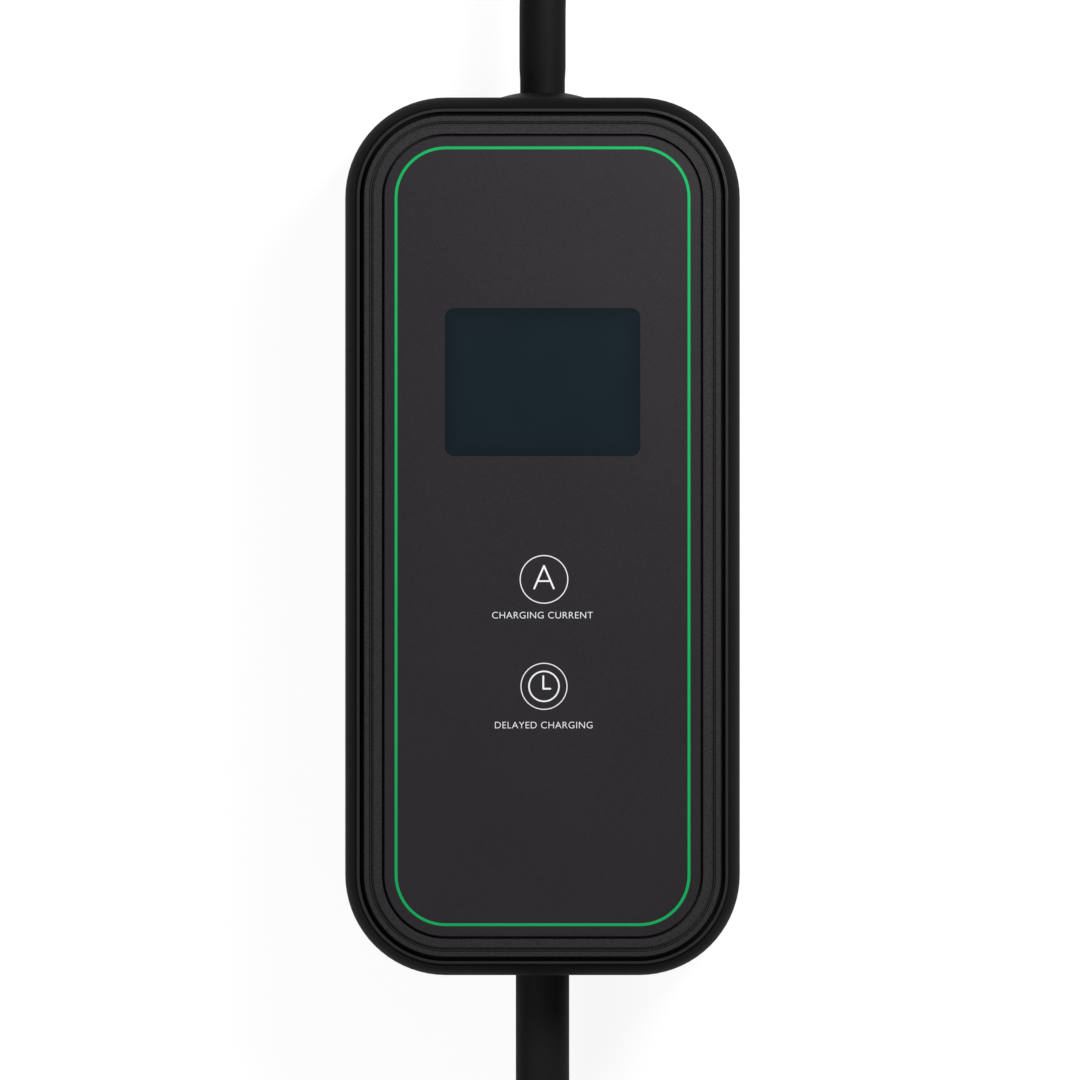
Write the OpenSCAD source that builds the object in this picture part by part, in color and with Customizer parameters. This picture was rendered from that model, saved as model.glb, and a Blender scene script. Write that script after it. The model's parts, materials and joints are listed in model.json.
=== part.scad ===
// Portable charger for electric vehicles: a control box in the lead between a mains plug and a
// vehicle connector.
// The box lies on its back: +Z leaves the front panel, +Y points to the mains lead, the origin is
// under its middle.

/* [Housing] */
// Width of the control box
body_w = 100; // [92:1:124]
// Length of the control box
body_l = 222.4; // [214:0.2:250]
// Depth from the back to the face of the front frame
body_d = 54; // [52:0.5:66]
// Radius of the corners seen from the front
corner_r = 25.5; // [22:0.5:28]
// Wall thickness of both shells
wall = 3.2; // [2.8:0.1:4]
// Thickness of the back
back_t = 3; // [2:0.1:4]
// Rounding of the back edge
back_r = 9; // [5:0.5:12]
// Height of the parting plane and of both leads above the back
split_z = 27; // [26:0.5:30]

/* [Front rim] */
// Width of the rounded rim round the front
rim_w = 3.7; // [3.4:0.1:5]
// Width of the rim's crest
crest_w = 0.9; // [0.6:0.1:1.4]
// Step from the face of the frame down to the rim
rim_drop = 1; // [0.4:0.1:1.6]
// Width of the groove between rim and frame
groove_w = 1; // [0.6:0.1:1.6]
// Depth of that groove below the rim
groove_t = 1.6; // [0.8:0.1:2]
// Width of the outer flat band of the frame
outer_band = 1.8; // [1.2:0.1:2.6]
// Width of the fine line between the bands
line_w = 0.75; // [0.4:0.05:1.2]
// Depth of the fine line
line_t = 0.4; // [0.2:0.05:0.8]
// Width of the inner flat band of the frame
inner_band = 2.1; // [1.4:0.1:3]
// Thickness of the front wall under the panel
face_t = 2.5; // [2:0.1:3]

/* [Front panel] */
// Thickness of the front panel
panel_t = 1.5; // [1:0.1:2]
// Gap round the front panel
panel_gap = 0.5; // [0.3:0.05:0.8]
// How far the panel lies below the face of the frame
panel_drop = 0.2; // [0.1:0.05:0.5]
// Chamfer of the panel's upper edge
panel_bevel = 0.25; // [0.1:0.05:0.5]
// Thickness of the adhesive sheet under the panel
bond_t = 0.3; // [0.2:0.05:0.5]
// Distance of the coloured border line from the panel's edge
border_in = 3.1; // [2:0.1:5]
// Width of the border line
border_w = 0.7; // [0.4:0.1:1.2]
// Depth of the border line in the panel
border_t = 0.15; // [0.1:0.05:0.3]
// Width of the display window
window_w = 49.4; // [44:0.2:52]
// Height of the display window
window_l = 37.4; // [32:0.2:39]
// Corner radius of the display window
window_r = 2.4; // [1:0.1:4]
// Place of the window's centre along the box
window_y = 39; // [32:0.5:44]
// Place of the upper touch key along the box
upper_key_y = -11; // [-14:0.5:-6]
// Place of the lower touch key along the box
lower_key_y = -38; // [-42:0.5:-30]
// Diameter of a touch key
key_d = 12.7; // [10:0.1:16]

/* [Lead entries] */
// Diameter of the mains lead
mains_d = 11.8; // [9:0.1:12.4]
// Diameter of the vehicle lead
vehicle_d = 13.6; // [10:0.1:14.4]
// Wall of the grommet neck round its lead
neck_wall = 4.1; // [3:0.1:5]
// Step of the grommet flange inside the box
flange_step = 3; // [2:0.1:4]
// Thickness of the grommet flange inside the box
flange_t = 4; // [3:0.1:5]
// Length of the tapered grommet sleeve inside the box
sleeve_l = 9; // [6:0.5:10]
// Radius of the domed collar outside the mains end
dome_r = 11.8; // [11:0.1:14]
// Height of the domed collar
dome_h = 2; // [1:0.1:4]
// Width of a lead clamp along the lead
clamp_l = 8; // [6:0.5:10]
// Thickness of a lead clamp
clamp_t = 3; // [2:0.1:4]
// Distance of a clamp's middle from the end of the box
clamp_in = 23.5; // [22:0.5:28]

/* [Fastening] */
// Diameter of the housing screws
screw_d = 4; // [3:0.5:4.5]
// Diameter of the housing screws' heads
head_d = 7.6; // [6:0.2:8]
// Length of the housing screws under the head
screw_l = 24; // [18:1:28]
// Height of the screw heads' seats above the back
seat_z = 15; // [8:0.5:17]
// Wall of a screw post
post_wall = 2; // [1.5:0.1:2.5]
// Diameter of the small screws of boards and clamps
small_d = 3; // [2.5:0.1:3.4]
// Clearance round screws and seated pieces
clearance = 0.2; // [0.1:0.05:0.4]

/* [Electronics] */
// Width of the main board
board_w = 66; // [60:1:68]
// Length of the main board
board_l = 110; // [108:1:124]
// Thickness of the boards
board_t = 1.6; // [1:0.1:2]
// Height of the main board above the back
board_z = 9; // [7:0.5:10]
// Depth of the display module
display_t = 4.5; // [3.5:0.1:6]
// Length of the display board
display_board_l = 118; // [116:1:124]
// Diameter of the power wires over their insulation
wire_d = 3.2; // [2.6:0.1:3.6]

/* [Mains plug] */
// Diameter of the plug's face
plug_d = 39; // [36:0.5:44]
// Length of the plug's round body
plug_l = 34; // [28:1:42]
// Length of the plug's ribbed sleeve
plug_sleeve_l = 30; // [20:1:44]
// Diameter of the two plug pins
pin_d = 4.8; // [4:0.1:5]
// Length of the plug pins
pin_l = 19; // [17:0.5:22]
// Distance between the plug pins
pin_pitch = 19; // [18:0.5:20]

/* [Vehicle connector] */
// Diameter of the connector's shroud
shroud_d = 63; // [60:0.5:68]
// Wall of the shroud
shroud_wall = 3; // [2:0.1:3.4]
// Length of the shroud
shroud_l = 48; // [44:1:56]
// Length of the handle shells
handle_l = 96; // [80:2:120]
// Radius of the handle at the boot
handle_r = 15; // [13:0.5:17]
// Length of the bend-protection boot
boot_l = 46; // [30:2:60]
// Diameter of the power contacts' bores
power_bore = 6; // [5:0.1:6.4]
// Diameter of the signal contacts' bores
signal_bore = 3; // [2:0.1:3.4]
// Wall of a contact sleeve
contact_wall = 0.7; // [0.4:0.1:1]
// Wall of a contact's tower
tower_wall = 1.8; // [1.2:0.1:2.2]
// Length of the towers in front of the insert's base
tower_l = 25; // [18:1:28]

/* [Hidden] */

$fn = 64;
// Overlap that lets a cut run past a surface
cut = 1;

// Corner axes of the box, and distances outwards from them to each step of the front
axis_x = body_w / 2 - corner_r;
axis_y = body_l / 2 - corner_r;
inside_u = corner_r - wall;
rim_u = corner_r - rim_w;
frame_u = rim_u - groove_w;
line_u = frame_u - outer_band;
recess_u = line_u - line_w - inner_band;
panel_u = recess_u - panel_gap;
border_u = panel_u - border_in;

// Heights of the front, from the face of the frame down
rim_z = body_d - rim_drop;
panel_top = body_d - panel_drop;
panel_z = panel_top - panel_t;
recess_z = panel_z - bond_t;
face_z = recess_z - face_t;
frame_bevel = 0.3;

// Rim: the side curves in up to the crest, whose outer half is broken by two chamfers
side_r = corner_r * 0.49;
side_u = corner_r - side_r;
crest_u = rim_u + crest_w;
side_z = rim_z - sqrt(side_r ^ 2 - (crest_u - side_u) ^ 2);
crest_break = crest_w / 2;

// Tongue, groove and seal cord in the middle of the wall
seal_w = 1.4;
seal_t = 0.8;
tongue_t = 1.2;
seal_u = corner_r - wall / 2;

// Inside faces of the end walls, clamps and the cut ends of the jackets
end_y = body_l / 2;
end_in = end_y - wall;
clamp_y = end_y - clamp_in;
jacket_y = clamp_y - clamp_l / 2 - 0.5;
mains_neck = mains_d / 2 + neck_wall;
vehicle_neck = vehicle_d / 2 + neck_wall;
clamp_x = 14;
clamp_post_r = small_d / 2 + post_wall + 0.5;
clamp_web = 4;
ear_t = 3.5;

// Housing screws: four in the corners and two at the middle of the long sides
post_r = head_d / 2 + post_wall;
thin_post_r = screw_d / 2 + post_wall + 0.4;
corner_post = (inside_u - post_r + 0.7) * sin(45);
side_post_x = body_w / 2 - wall - post_r + 0.7;
screw_places = [
    for (x = [-1, 1], y = [-1, 1]) [x * (axis_x + corner_post), y * (axis_y + corner_post)],
    for (x = [-1, 1]) [x * side_post_x, 0],
];
head_t = 3;

// Boards
board_top = board_z + board_t;
board_screw_in = 5;
board_places = [
    for (x = [-1, 1], y = [-1, 1]) [x * (board_w / 2 - board_screw_in), y * (board_l / 2 - board_screw_in)],
];
display_board_w = 64;
display_screw_in = 4;
can_w = window_w + 10.6;
can_l = window_l + 5.2;
can_floor = 1.2;
// The board reaches so far past the window that its posts stand clear of the can
display_over = can_l / 2 + 2 * clearance + small_d / 2 + post_wall + display_screw_in;
display_board_top = recess_z - display_t;
display_board_z = display_board_top - board_t;
display_board_y = window_y + display_over - display_board_l / 2;
display_screw_x = display_board_w / 2 - display_screw_in;
display_screw_y = display_board_l / 2 - display_screw_in;
display_places = [
    for (x = [-1, 1], y = [-1, 1]) [x * display_screw_x, display_board_y + y * display_screw_y],
];
small_head_r = small_d * 0.95;
small_head_t = 2;
small_screw_l = 10;
cable_w = 12;
cable_t = 1.2;
header_w = 5;
header_l = 16;
header_t = 6;

// Sizes and places of the components on the main board, counted from its vehicle end
sensor_y = -board_l / 2 + 20;
relay_w = 15.4;
relay_l = 29;
relay_base_h = 3;
relay_can_h = 22;
relay_y = sensor_y + 26;
relay_pitch = 18;
sensor_r = 13;
sensor_hole_r = 6.5;
sensor_t = 11;
sensor_foot_w = 18;
sensor_foot_h = 6;
sensor_lift = 1;
transformer_w = 24;
transformer_l = 20;
transformer_h = 18;
transformer_foot = 2;
winding_w = 16;
winding_h = 11;
winding_t = 2;
transformer_at = [18, relay_y + 28];
bulk_r = 6;
bulk_h = 21;
bulk_at = [[-24, relay_y - 1], [-24, relay_y + 14]];
filter_w = 26;
filter_l = 10;
filter_h = 18;
filter_at = [-18, relay_y + 28];
varistor_r = 5;
varistor_t = 4;
varistor_z = 6.5;
varistor_at = [[-25.5, relay_y + 36.5], [-25.5, relay_y + 41.5]];
fuse_r = 2.4;
fuse_l = 20;
fuse_cap_r = 2.7;
fuse_cap_l = 5;
fuse_z = 4.5;
fuse_at = [-17, sensor_y - 9];
chip_w = 10;
chip_h = 1.4;
chip_at = [25, relay_y + 4];
buzzer_r = 6;
buzzer_h = 9;
buzzer_at = [21, sensor_y - 2];
cable_at = [27, sensor_y + 13];

// Screw terminals at the ends of the main board, and the wires in them
terminal_l = 12;
terminal_h = 12;
wire_h = 6;
wire_in = 9;
mains_pitch = 12;
vehicle_pitch = 11;
mains_wire_x = 3.4;
sensed_wire_x = 2.2;
vehicle_earth_d = wire_d * 0.75;
vehicle_wire_x = sensed_wire_x + wire_d / 2 + clearance + vehicle_earth_d / 2;

// Mains hank: middle of its near bend, inner bend radius, length of its straight runs
mains_hank_at = [34, 210];
mains_bend_r = 37;
mains_run = 90;
mains_strap_x = mains_bend_r + mains_d / 2;
mains_strap_places = [mains_run * 0.5];
// Vehicle hank, the same
vehicle_hank_at = [34, -252];
vehicle_bend_r = 40.8;
vehicle_run = 148;
vehicle_layers = 3;
vehicle_strap_x = vehicle_bend_r + vehicle_d / 2;
vehicle_strap_places = [vehicle_run * 0.25, vehicle_run * 0.75];
tie_w = 16;
tie_t = 1.2;

// Plug on the mains hank and connector on the vehicle hank
plug_at = [mains_hank_at[0] - mains_bend_r, mains_hank_at[1], mains_d + plug_d / 2];
plug_face = plug_sleeve_l + plug_l;
clip_w = 8;
clip_t = 1;
clip_l = 14;
clip_in = 2;
pin_root_d = pin_d - 0.8;
pin_root_l = 12;
connector_x = vehicle_hank_at[0] - vehicle_bend_r;
hank_top = vehicle_layers * vehicle_d;
boot_z = hank_top + handle_r + 2;
nose_z = hank_top + shroud_d / 2;
handle_y = vehicle_hank_at[1] - boot_l;
nose_y = handle_y - handle_l;
shroud_back = 4;
insert_t = 14;
insert_y = nose_y - shroud_back;
tower_y = insert_y - insert_t;
power_places = [[0, 0], [17.5, 0], [-17.5, 0], [8.8, -15.2], [-8.8, -15.2]];
signal_places = [[8.4, 13.2], [-8.4, 13.2]];
power_sleeve_r = power_bore / 2 + contact_wall;
signal_sleeve_r = signal_bore / 2 + contact_wall;

// Rings of the handle from the boot to the shroud: part of its length, radius and height of the middle
handle_stations = [
    [0, handle_r - 1.5, boot_z], [0.03, handle_r, boot_z], [0.25, handle_r + 2.5, boot_z + 0.8],
    [0.5, handle_r + 3.5, boot_z + 1.8], [0.68, handle_r + 6.5, boot_z + 5.5],
    [0.84, shroud_d / 2 - 3, nose_z - 2.5], [0.95, shroud_d / 2 - 0.5, nose_z], [1, shroud_d / 2 - 0.5, nose_z],
];

// Route of the mains lead from its clamp to its hank
mains_route = [
    [0, jacket_y, split_z], [0, 100, split_z], [0, 120, split_z], [0, 132, split_z],
    [0, 144, 25.5], [-1.5, 156, 22], [-4.5, 168, 17.5], [-9, 180, 12],
    [-12.5, 192, 8], [-14.5, 202, 6.2], [-15, 210, 5.9],
];
// Route of the vehicle lead from its clamp to its hank
vehicle_route = [
    [0, -jacket_y, split_z], [0, -100, split_z], [0, -120, split_z], [0, -134, split_z],
    [0, -146, 25.5], [-0.5, -158, 22], [-2.5, -170, 17.5], [-5.5, -182, 12.5],
    [-10, -194, 8.5], [-14, -206, 6.8], [-18, -220, 6.8], [-20, -236, 6.8], [-20.4, -252, 6.8],
];

shell_black = "#1d1d20";
frame_grey = "#333336";
cord_black = "#1b1b1d";
board_green = "#1f5a3a";
brass = "#c9a24a";
tin = "#b9bcc0";

// Shared shapes

// Section carried round the four sides and corners of the box, x of the section pointing outwards
module carried_round() {
    for (k = [0 : 3])
        translate([(k == 0 || k == 3 ? 1 : -1) * axis_x, (k < 2 ? 1 : -1) * axis_y, 0])
            rotate([0, 0, 90 * k])
                rotate_extrude(angle = 90, $fn = 96) children();
    for (k = [0 : 3])
        rotate([0, 0, 90 * k])
            translate([k % 2 == 0 ? axis_x : axis_y, 0, 0])
                rotate([90, 0, 0])
                    linear_extrude(2 * (k % 2 == 0 ? axis_y : axis_x), center = true) children();
}

// The same, filled in between the corner axes from height low to height high
module filled_round(low, high) {
    carried_round() children();
    translate([-axis_x, -axis_y, low])
        cube([2 * axis_x, 2 * axis_y, high - low]);
}

// Section of a tub: from the corner axis out to u, with a round lower edge
module tub_section(u, low, high, r) {
    difference() {
        translate([0, low]) square([u, high - low]);
        difference() {
            translate([u - r, low - cut]) square(r + cut);
            translate([u - r, low + r]) circle(r);
        }
    }
}

// Flat rectangle with round corners
module rounded_rect(w, l, r) {
    square([w - 2 * r, l], center = true);
    square([w, l - 2 * r], center = true);
    for (x = [-1, 1], y = [-1, 1])
        translate([x * (w / 2 - r), y * (l / 2 - r)]) circle(r, $fn = 48);
}

// Rounded rectangle that follows the corners of the box at distance u
module box_outline(u) {
    rounded_rect(2 * (axis_x + u), 2 * (axis_y + u), u);
}

// Block with round upright edges, standing on z = 0
module rounded_block(w, l, h, r) {
    linear_extrude(h) rounded_rect(w, l, r);
}

// Puts a piece made along Z on the axis of the mains lead, z counted from the middle of the box
module along_mains() {
    translate([0, 0, split_z]) rotate([-90, 0, 0]) children();
}

// Puts a piece made along Z on the axis of the vehicle lead
module along_vehicle() {
    translate([0, 0, split_z]) rotate([90, 0, 0]) children();
}

function unit(v) = v / norm(v);

// Solid skinned over rings of equal point count, closed by flat ends
module skinned(rings) {
    n = len(rings[0]);
    last = len(rings) - 1;
    polyhedron(
        points = [for (ring = rings) for (p = ring) p],
        faces = concat(
            [[for (k = [0 : n - 1]) n - 1 - k]],
            [for (i = [0 : last - 1]) for (k = [0 : n - 1]) let (j = (k + 1) % n)
                [i * n + k, i * n + j, (i + 1) * n + j]],
            [for (i = [0 : last - 1]) for (k = [0 : n - 1]) let (j = (k + 1) % n)
                [i * n + k, (i + 1) * n + j, (i + 1) * n + k]],
            [[for (k = [0 : n - 1]) last * n + k]]
        ),
        convexity = 6
    );
}

// Tube of diameter d along points, its end faces square to the directions first and last
module tube(points, d, first, last, side = [0, 0, 1], sides = 12) {
    n = len(points);
    skinned([
        for (i = [0 : n - 1])
            let (
                t = unit(i == 0 ? first : i == n - 1 ? last : points[i + 1] - points[i - 1]),
                a = unit(cross(t, side)),
                b = cross(a, t)
            )
            [for (k = [0 : sides - 1])
                points[i] + d / 2 * (cos(360 * k / sides) * a - sin(360 * k / sides) * b)]
    ]);
}

// Flat outline of two straight runs joined by half circles of radius r
module stadium(r, run) {
    translate([-r, 0]) square([2 * r, run]);
    circle(r);
    translate([0, run]) circle(r);
}

// Hank of a lead, two turns wide: its near end is at the origin and its runs point along +Y.
// The outer slot of the lowest layer and the inner slot of the highest are open at the near end,
// for the lead that comes in and the tail that goes out.
module hank(d, bend_r, run, layers) {
    inner = bend_r - d / 2;
    reach = inner + 2 * d + cut;
    for (i = [0 : layers - 1])
        translate([0, 0, i * d])
            linear_extrude(d)
                difference() {
                    stadium(inner + 2 * d, run);
                    stadium(inner, run);
                    if (i == 0) intersection() {
                        difference() {
                            circle(reach);
                            circle(inner + d);
                        }
                        translate([-reach - cut, -reach - cut]) square(reach + cut);
                    }
                    if (i == layers - 1) intersection() {
                        circle(inner + d);
                        polygon([[0, 0], [-reach / 2, -reach * sin(60)], [0, -2 * reach], [reach, 0]]);
                    }
                }
}

// Last half turn of a lead: from the far run of its hank up into the piece on its end
function tail_points(bend_r, low, high) = [
    for (a = [0 : 12 : 180])
        [bend_r * cos(a), -bend_r * sin(a), low + (high - low) * (1 - cos(a)) / 2]
];

// Straps round one run of a hank, flush with its underside
module straps(x, d, layers, places) {
    for (y = places)
        translate([x, y, 0])
            rotate([90, 0, 0])
                linear_extrude(tie_w, center = true)
                    difference() {
                        translate([0, (layers * d + tie_t) / 2])
                            rounded_rect(2 * d + 2 * tie_t, layers * d + tie_t, 2);
                        translate([-d, tie_t]) square([2 * d, layers * d - tie_t]);
                    }
}

// Bottom channels in a hank that take the straps
module strap_channels(x, d, places) {
    for (y = places)
        translate([x - d - cut, y - tie_w / 2, -cut]) cube([2 * d + 2 * cut, tie_w, tie_t + cut]);
}

// Screw with a pan head, its head on z = 0 pointing up
module pan_screw(d, length, head_radius, head_height) {
    translate([0, 0, -length]) cylinder(d = d, h = length + 0.01, $fn = 32);
    difference() {
        cylinder(r = head_radius, h = head_height, $fn = 40);
        translate([-0.4 * d, -0.5, head_height - 0.6]) cube([0.8 * d, 1, cut]);
        translate([-0.5, -0.4 * d, head_height - 0.6]) cube([1, 0.8 * d, cut]);
    }
}

// Housing

module grommet_holes() {
    along_mains() translate([0, 0, end_in - cut]) cylinder(r = mains_neck, h = wall + 2 * cut);
    along_vehicle() translate([0, 0, end_in - cut]) cylinder(r = vehicle_neck, h = wall + 2 * cut);
}

// Post pair and web that carry a lead clamp, up to the parting plane
module clamp_cradle(side, d) {
    difference() {
        translate([0, side * clamp_y, back_t - 0.2]) {
            for (x = [-1, 1])
                translate([x * clamp_x, 0, 0]) cylinder(r = clamp_post_r, h = split_z - back_t + 0.2, $fn = 40);
            translate([-clamp_x, -clamp_web / 2, 0]) cube([2 * clamp_x, clamp_web, split_z - back_t + 0.2]);
        }
        translate([0, side * clamp_y, split_z])
            rotate([90, 0, 0]) cylinder(d = d, h = 2 * clamp_post_r + cut, center = true);
        for (x = [-1, 1])
            translate([x * clamp_x, side * clamp_y, split_z - small_screw_l])
                cylinder(d = small_d, h = small_screw_l + cut, $fn = 32);
    }
}

module rear_shell() {
    color(shell_black)
        difference() {
            union() {
                difference() {
                    filled_round(0, split_z) tub_section(corner_r, 0, split_z, back_r);
                    filled_round(back_t, split_z + cut)
                        tub_section(inside_u, back_t, split_z + cut, back_r - wall);
                }
                for (p = screw_places) translate([p[0], p[1], back_t - 0.2]) {
                    cylinder(r = post_r, h = seat_z + 3 - back_t, $fn = 48);
                    cylinder(r = thin_post_r, h = split_z - back_t + 0.2, $fn = 48);
                }
                for (p = board_places) translate([p[0], p[1], back_t - 0.2])
                    cylinder(r = small_d / 2 + post_wall, h = board_z - back_t + 0.2, $fn = 40);
                clamp_cradle(1, mains_d);
                clamp_cradle(-1, vehicle_d);
            }
            carried_round()
                translate([seal_u - seal_w / 2, split_z - seal_t - tongue_t])
                    square([seal_w, seal_t + tongue_t + cut]);
            grommet_holes();
            for (p = screw_places) translate([p[0], p[1], -cut]) {
                cylinder(d = head_d + 2 * clearance, h = seat_z + cut, $fn = 48);
                cylinder(d = screw_d + 2 * clearance, h = split_z + 2 * cut, $fn = 40);
            }
            for (p = board_places) translate([p[0], p[1], back_t + 1])
                cylinder(d = small_d, h = board_z, $fn = 32);
        }
}

// Outline of the front shell: curved side, rim, groove, two flat bands with a fine line, recess for the panel
module front_section() {
    difference() {
        union() {
            translate([0, split_z]) square([corner_r, side_z - split_z]);
            translate([0, split_z]) square([side_u, rim_z - split_z]);
            intersection() {
                translate([side_u, side_z]) circle(side_r, $fn = 128);
                translate([side_u, side_z]) square([side_r, rim_z - side_z]);
            }
            polygon([
                [0, split_z], [frame_u, split_z], [frame_u, body_d - frame_bevel],
                [frame_u - frame_bevel, body_d], [0, body_d],
            ]);
        }
        translate([crest_u - crest_break, rim_z])
            polygon([
                [0, cut], [0, 0], [0.55 * crest_break, -0.18 * crest_break],
                [2.1 * crest_break, -1.2 * crest_break], [2.1 * crest_break, cut],
            ]);
        translate([frame_u, rim_z - groove_t]) square([groove_w, body_d]);
        translate([line_u - line_w, body_d - line_t]) square([line_w, line_t + cut]);
        translate([-cut, recess_z]) square([recess_u + cut, body_d]);
    }
}

module front_shell() {
    inside_r = 2;
    color(frame_grey)
        difference() {
            union() {
                difference() {
                    filled_round(split_z, recess_z) front_section();
                    mirror([0, 0, 1])
                        filled_round(-face_z, cut - split_z)
                            tub_section(inside_u, -face_z, cut - split_z, inside_r);
                }
                carried_round()
                    translate([seal_u - seal_w / 2 + clearance / 2, split_z - tongue_t])
                        square([seal_w - clearance, tongue_t + 0.2]);
                for (p = screw_places) translate([p[0], p[1], split_z])
                    cylinder(r = thin_post_r, h = face_z - split_z + 0.2, $fn = 48);
                for (p = display_places) translate([p[0], p[1], display_board_top])
                    cylinder(r = small_d / 2 + post_wall, h = face_z - display_board_top + 0.2, $fn = 40);
            }
            grommet_holes();
            for (p = screw_places) translate([p[0], p[1], split_z - cut])
                cylinder(d = screw_d, h = screw_l + seat_z - split_z + 2 * cut, $fn = 40);
            for (p = display_places) translate([p[0], p[1], display_board_top - cut])
                cylinder(d = small_d, h = face_z - display_board_top + cut + 1, $fn = 32);
            translate([0, window_y, face_z - cut])
                rounded_block(can_w + 2 * clearance, can_l + 2 * clearance, face_t + 2 * cut, 1);
            for (y = [upper_key_y, lower_key_y]) translate([0, y, face_z - cut])
                cylinder(d = key_d, h = face_t + 2 * cut);
        }
}

module housing_seal() {
    color("#5a5d60")
        difference() {
            carried_round()
                translate([seal_u - seal_w / 2, split_z - seal_t - tongue_t]) square([seal_w, seal_t]);
            grommet_holes();
        }
}

module housing_screws() {
    color(tin)
        for (p = screw_places)
            translate([p[0], p[1], seat_z]) rotate([180, 0, 0])
                pan_screw(screw_d, screw_l, head_d / 2, head_t);
}

// Front panel and display

module front_panel() {
    color("#343336")
        difference() {
            filled_round(panel_z, panel_top)
                polygon([
                    [0, panel_z], [panel_u, panel_z], [panel_u, panel_top - panel_bevel],
                    [panel_u - panel_bevel, panel_top], [0, panel_top],
                ]);
            translate([0, window_y, panel_z - cut])
                rounded_block(window_w, window_l, panel_t + 2 * cut, window_r);
            translate([0, 0, panel_top - border_t])
                linear_extrude(border_t + cut) border_ring();
        }
}

module border_ring() {
    difference() {
        box_outline(border_u + border_w / 2);
        box_outline(border_u - border_w / 2);
    }
}

module border_line() {
    color("#12b066")
        translate([0, 0, panel_top - border_t]) linear_extrude(border_t) border_ring();
}

module panel_bond() {
    color("#8d8f92")
        translate([0, 0, recess_z])
            linear_extrude(bond_t)
                difference() {
                    box_outline(panel_u - 1);
                    translate([0, window_y]) rounded_rect(window_w + 1.6, window_l + 1.6, window_r);
                    for (y = [upper_key_y, lower_key_y]) translate([0, y]) circle(d = key_d);
                }
}

module display_window() {
    fit = 0.05;
    color("#192328")
        translate([0, window_y, panel_z])
            rounded_block(window_w - 2 * fit, window_l - 2 * fit, panel_t, window_r - fit);
}

module display_glass() {
    color("#10161a")
        translate([0, window_y, display_board_top + can_floor])
            rounded_block(window_w, window_l, panel_z - display_board_top - can_floor, window_r);
}

module display_can() {
    color(tin)
        translate([0, window_y, display_board_top])
            difference() {
                rounded_block(can_w, can_l, display_t, 0.8);
                translate([0, 0, can_floor]) rounded_block(window_w, window_l, display_t, window_r);
            }
}

module display_board() {
    color(board_green)
        translate([0, 0, display_board_z])
            difference() {
                translate([0, display_board_y, 0]) rounded_block(display_board_w, display_board_l, board_t, 2);
                for (p = display_places) translate([p[0], p[1], -cut])
                    cylinder(d = small_d + 2 * clearance, h = board_t + 2 * cut, $fn = 32);
            }
}

// Coil springs that carry the touch signal from the board to the back of the panel
module touch_springs() {
    spring_r = key_d / 2 - 1.6;
    spring_wire = 0.8;
    turns = 4;
    steps = 14;
    rise = panel_z - display_board_top - spring_wire;
    color("#c8c9c4")
        for (y = [upper_key_y, lower_key_y])
            translate([0, y, display_board_top + spring_wire / 2])
                tube(
                    [for (i = [0 : turns * steps])
                        let (a = 360 * i / steps)
                        [spring_r * cos(a), spring_r * sin(a), rise * i / (turns * steps)]],
                    spring_wire, [0, 1, 0], [0, 1, 0], sides = 6
                );
}

module board_headers() {
    color("#e6e3da")
        for (z = [board_top, display_board_z - header_t])
            translate([cable_at[0], cable_at[1], z]) rounded_block(header_w, header_l, header_t, 0.6);
}

module flat_cable() {
    color("#9aa3ad")
        translate([cable_at[0] - cable_t / 2, cable_at[1] - cable_w / 2, board_top + header_t])
            cube([cable_t, cable_w, display_board_z - board_top - 2 * header_t]);
}

module board_screws() {
    color(tin) {
        for (p = board_places) translate([p[0], p[1], board_top])
            pan_screw(small_d, board_z - back_t - 1 + board_t, small_head_r, small_head_t);
        for (p = display_places) translate([p[0], p[1], display_board_z]) rotate([180, 0, 0])
            pan_screw(small_d, board_t + face_z - display_board_top, small_head_r, small_head_t);
    }
}

// Main board and what stands on it

module main_board() {
    color(board_green)
        translate([0, 0, board_z])
            difference() {
                rounded_block(board_w, board_l, board_t, 2);
                for (p = board_places) translate([p[0], p[1], -cut])
                    cylinder(d = small_d + 2 * clearance, h = board_t + 2 * cut, $fn = 32);
            }
}

module on_board(place) {
    translate([place[0], place[1], board_top]) children();
}

module power_relays() {
    can_in = 0.8;
    color("#20242c")
        for (x = [-1, 1]) on_board([x * relay_pitch / 2, relay_y]) {
            rounded_block(relay_w, relay_l, relay_base_h, 0.6);
            translate([0, 0, relay_base_h]) rounded_block(relay_w - can_in, relay_l - can_in, relay_can_h, 1);
        }
}

// Ring core on a foot, the power wires pass through it
module leakage_sensor() {
    color("#27425f")
        on_board([0, sensor_y])
            translate([0, 0, sensor_r + sensor_lift]) rotate([90, 0, 0]) {
                rotate_extrude()
                    translate([(sensor_r + sensor_hole_r) / 2, 0])
                        rounded_rect(sensor_r - sensor_hole_r, sensor_t, 1.5);
                translate([-sensor_foot_w / 2, -sensor_r - sensor_lift, -sensor_t / 2])
                    cube([sensor_foot_w, sensor_foot_h, sensor_t]);
            }
}

// Core with two winding windows on a bobbin foot, tape over the winding
module supply_transformer() {
    slot_w = 5;
    slot_h = 12;
    middle_z = transformer_foot + transformer_h / 2;
    color("#3a3328")
        on_board(transformer_at) {
            difference() {
                translate([0, 0, transformer_foot])
                    rounded_block(transformer_w, transformer_l, transformer_h, 0.6);
                for (x = [-1, 1])
                    translate([x * transformer_w * 0.27, 0, middle_z])
                        cube([slot_w, transformer_l + cut, slot_h], center = true);
            }
            rounded_block(transformer_w - 4, transformer_l + 4, transformer_foot, 0.6);
        }
    color("#d8b93c")
        on_board(transformer_at)
            for (y = [-1, 1])
                translate([0, y * (transformer_l / 2 + winding_t / 2 - 0.1), middle_z])
                    cube([winding_w, winding_t, winding_h], center = true);
}

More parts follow.
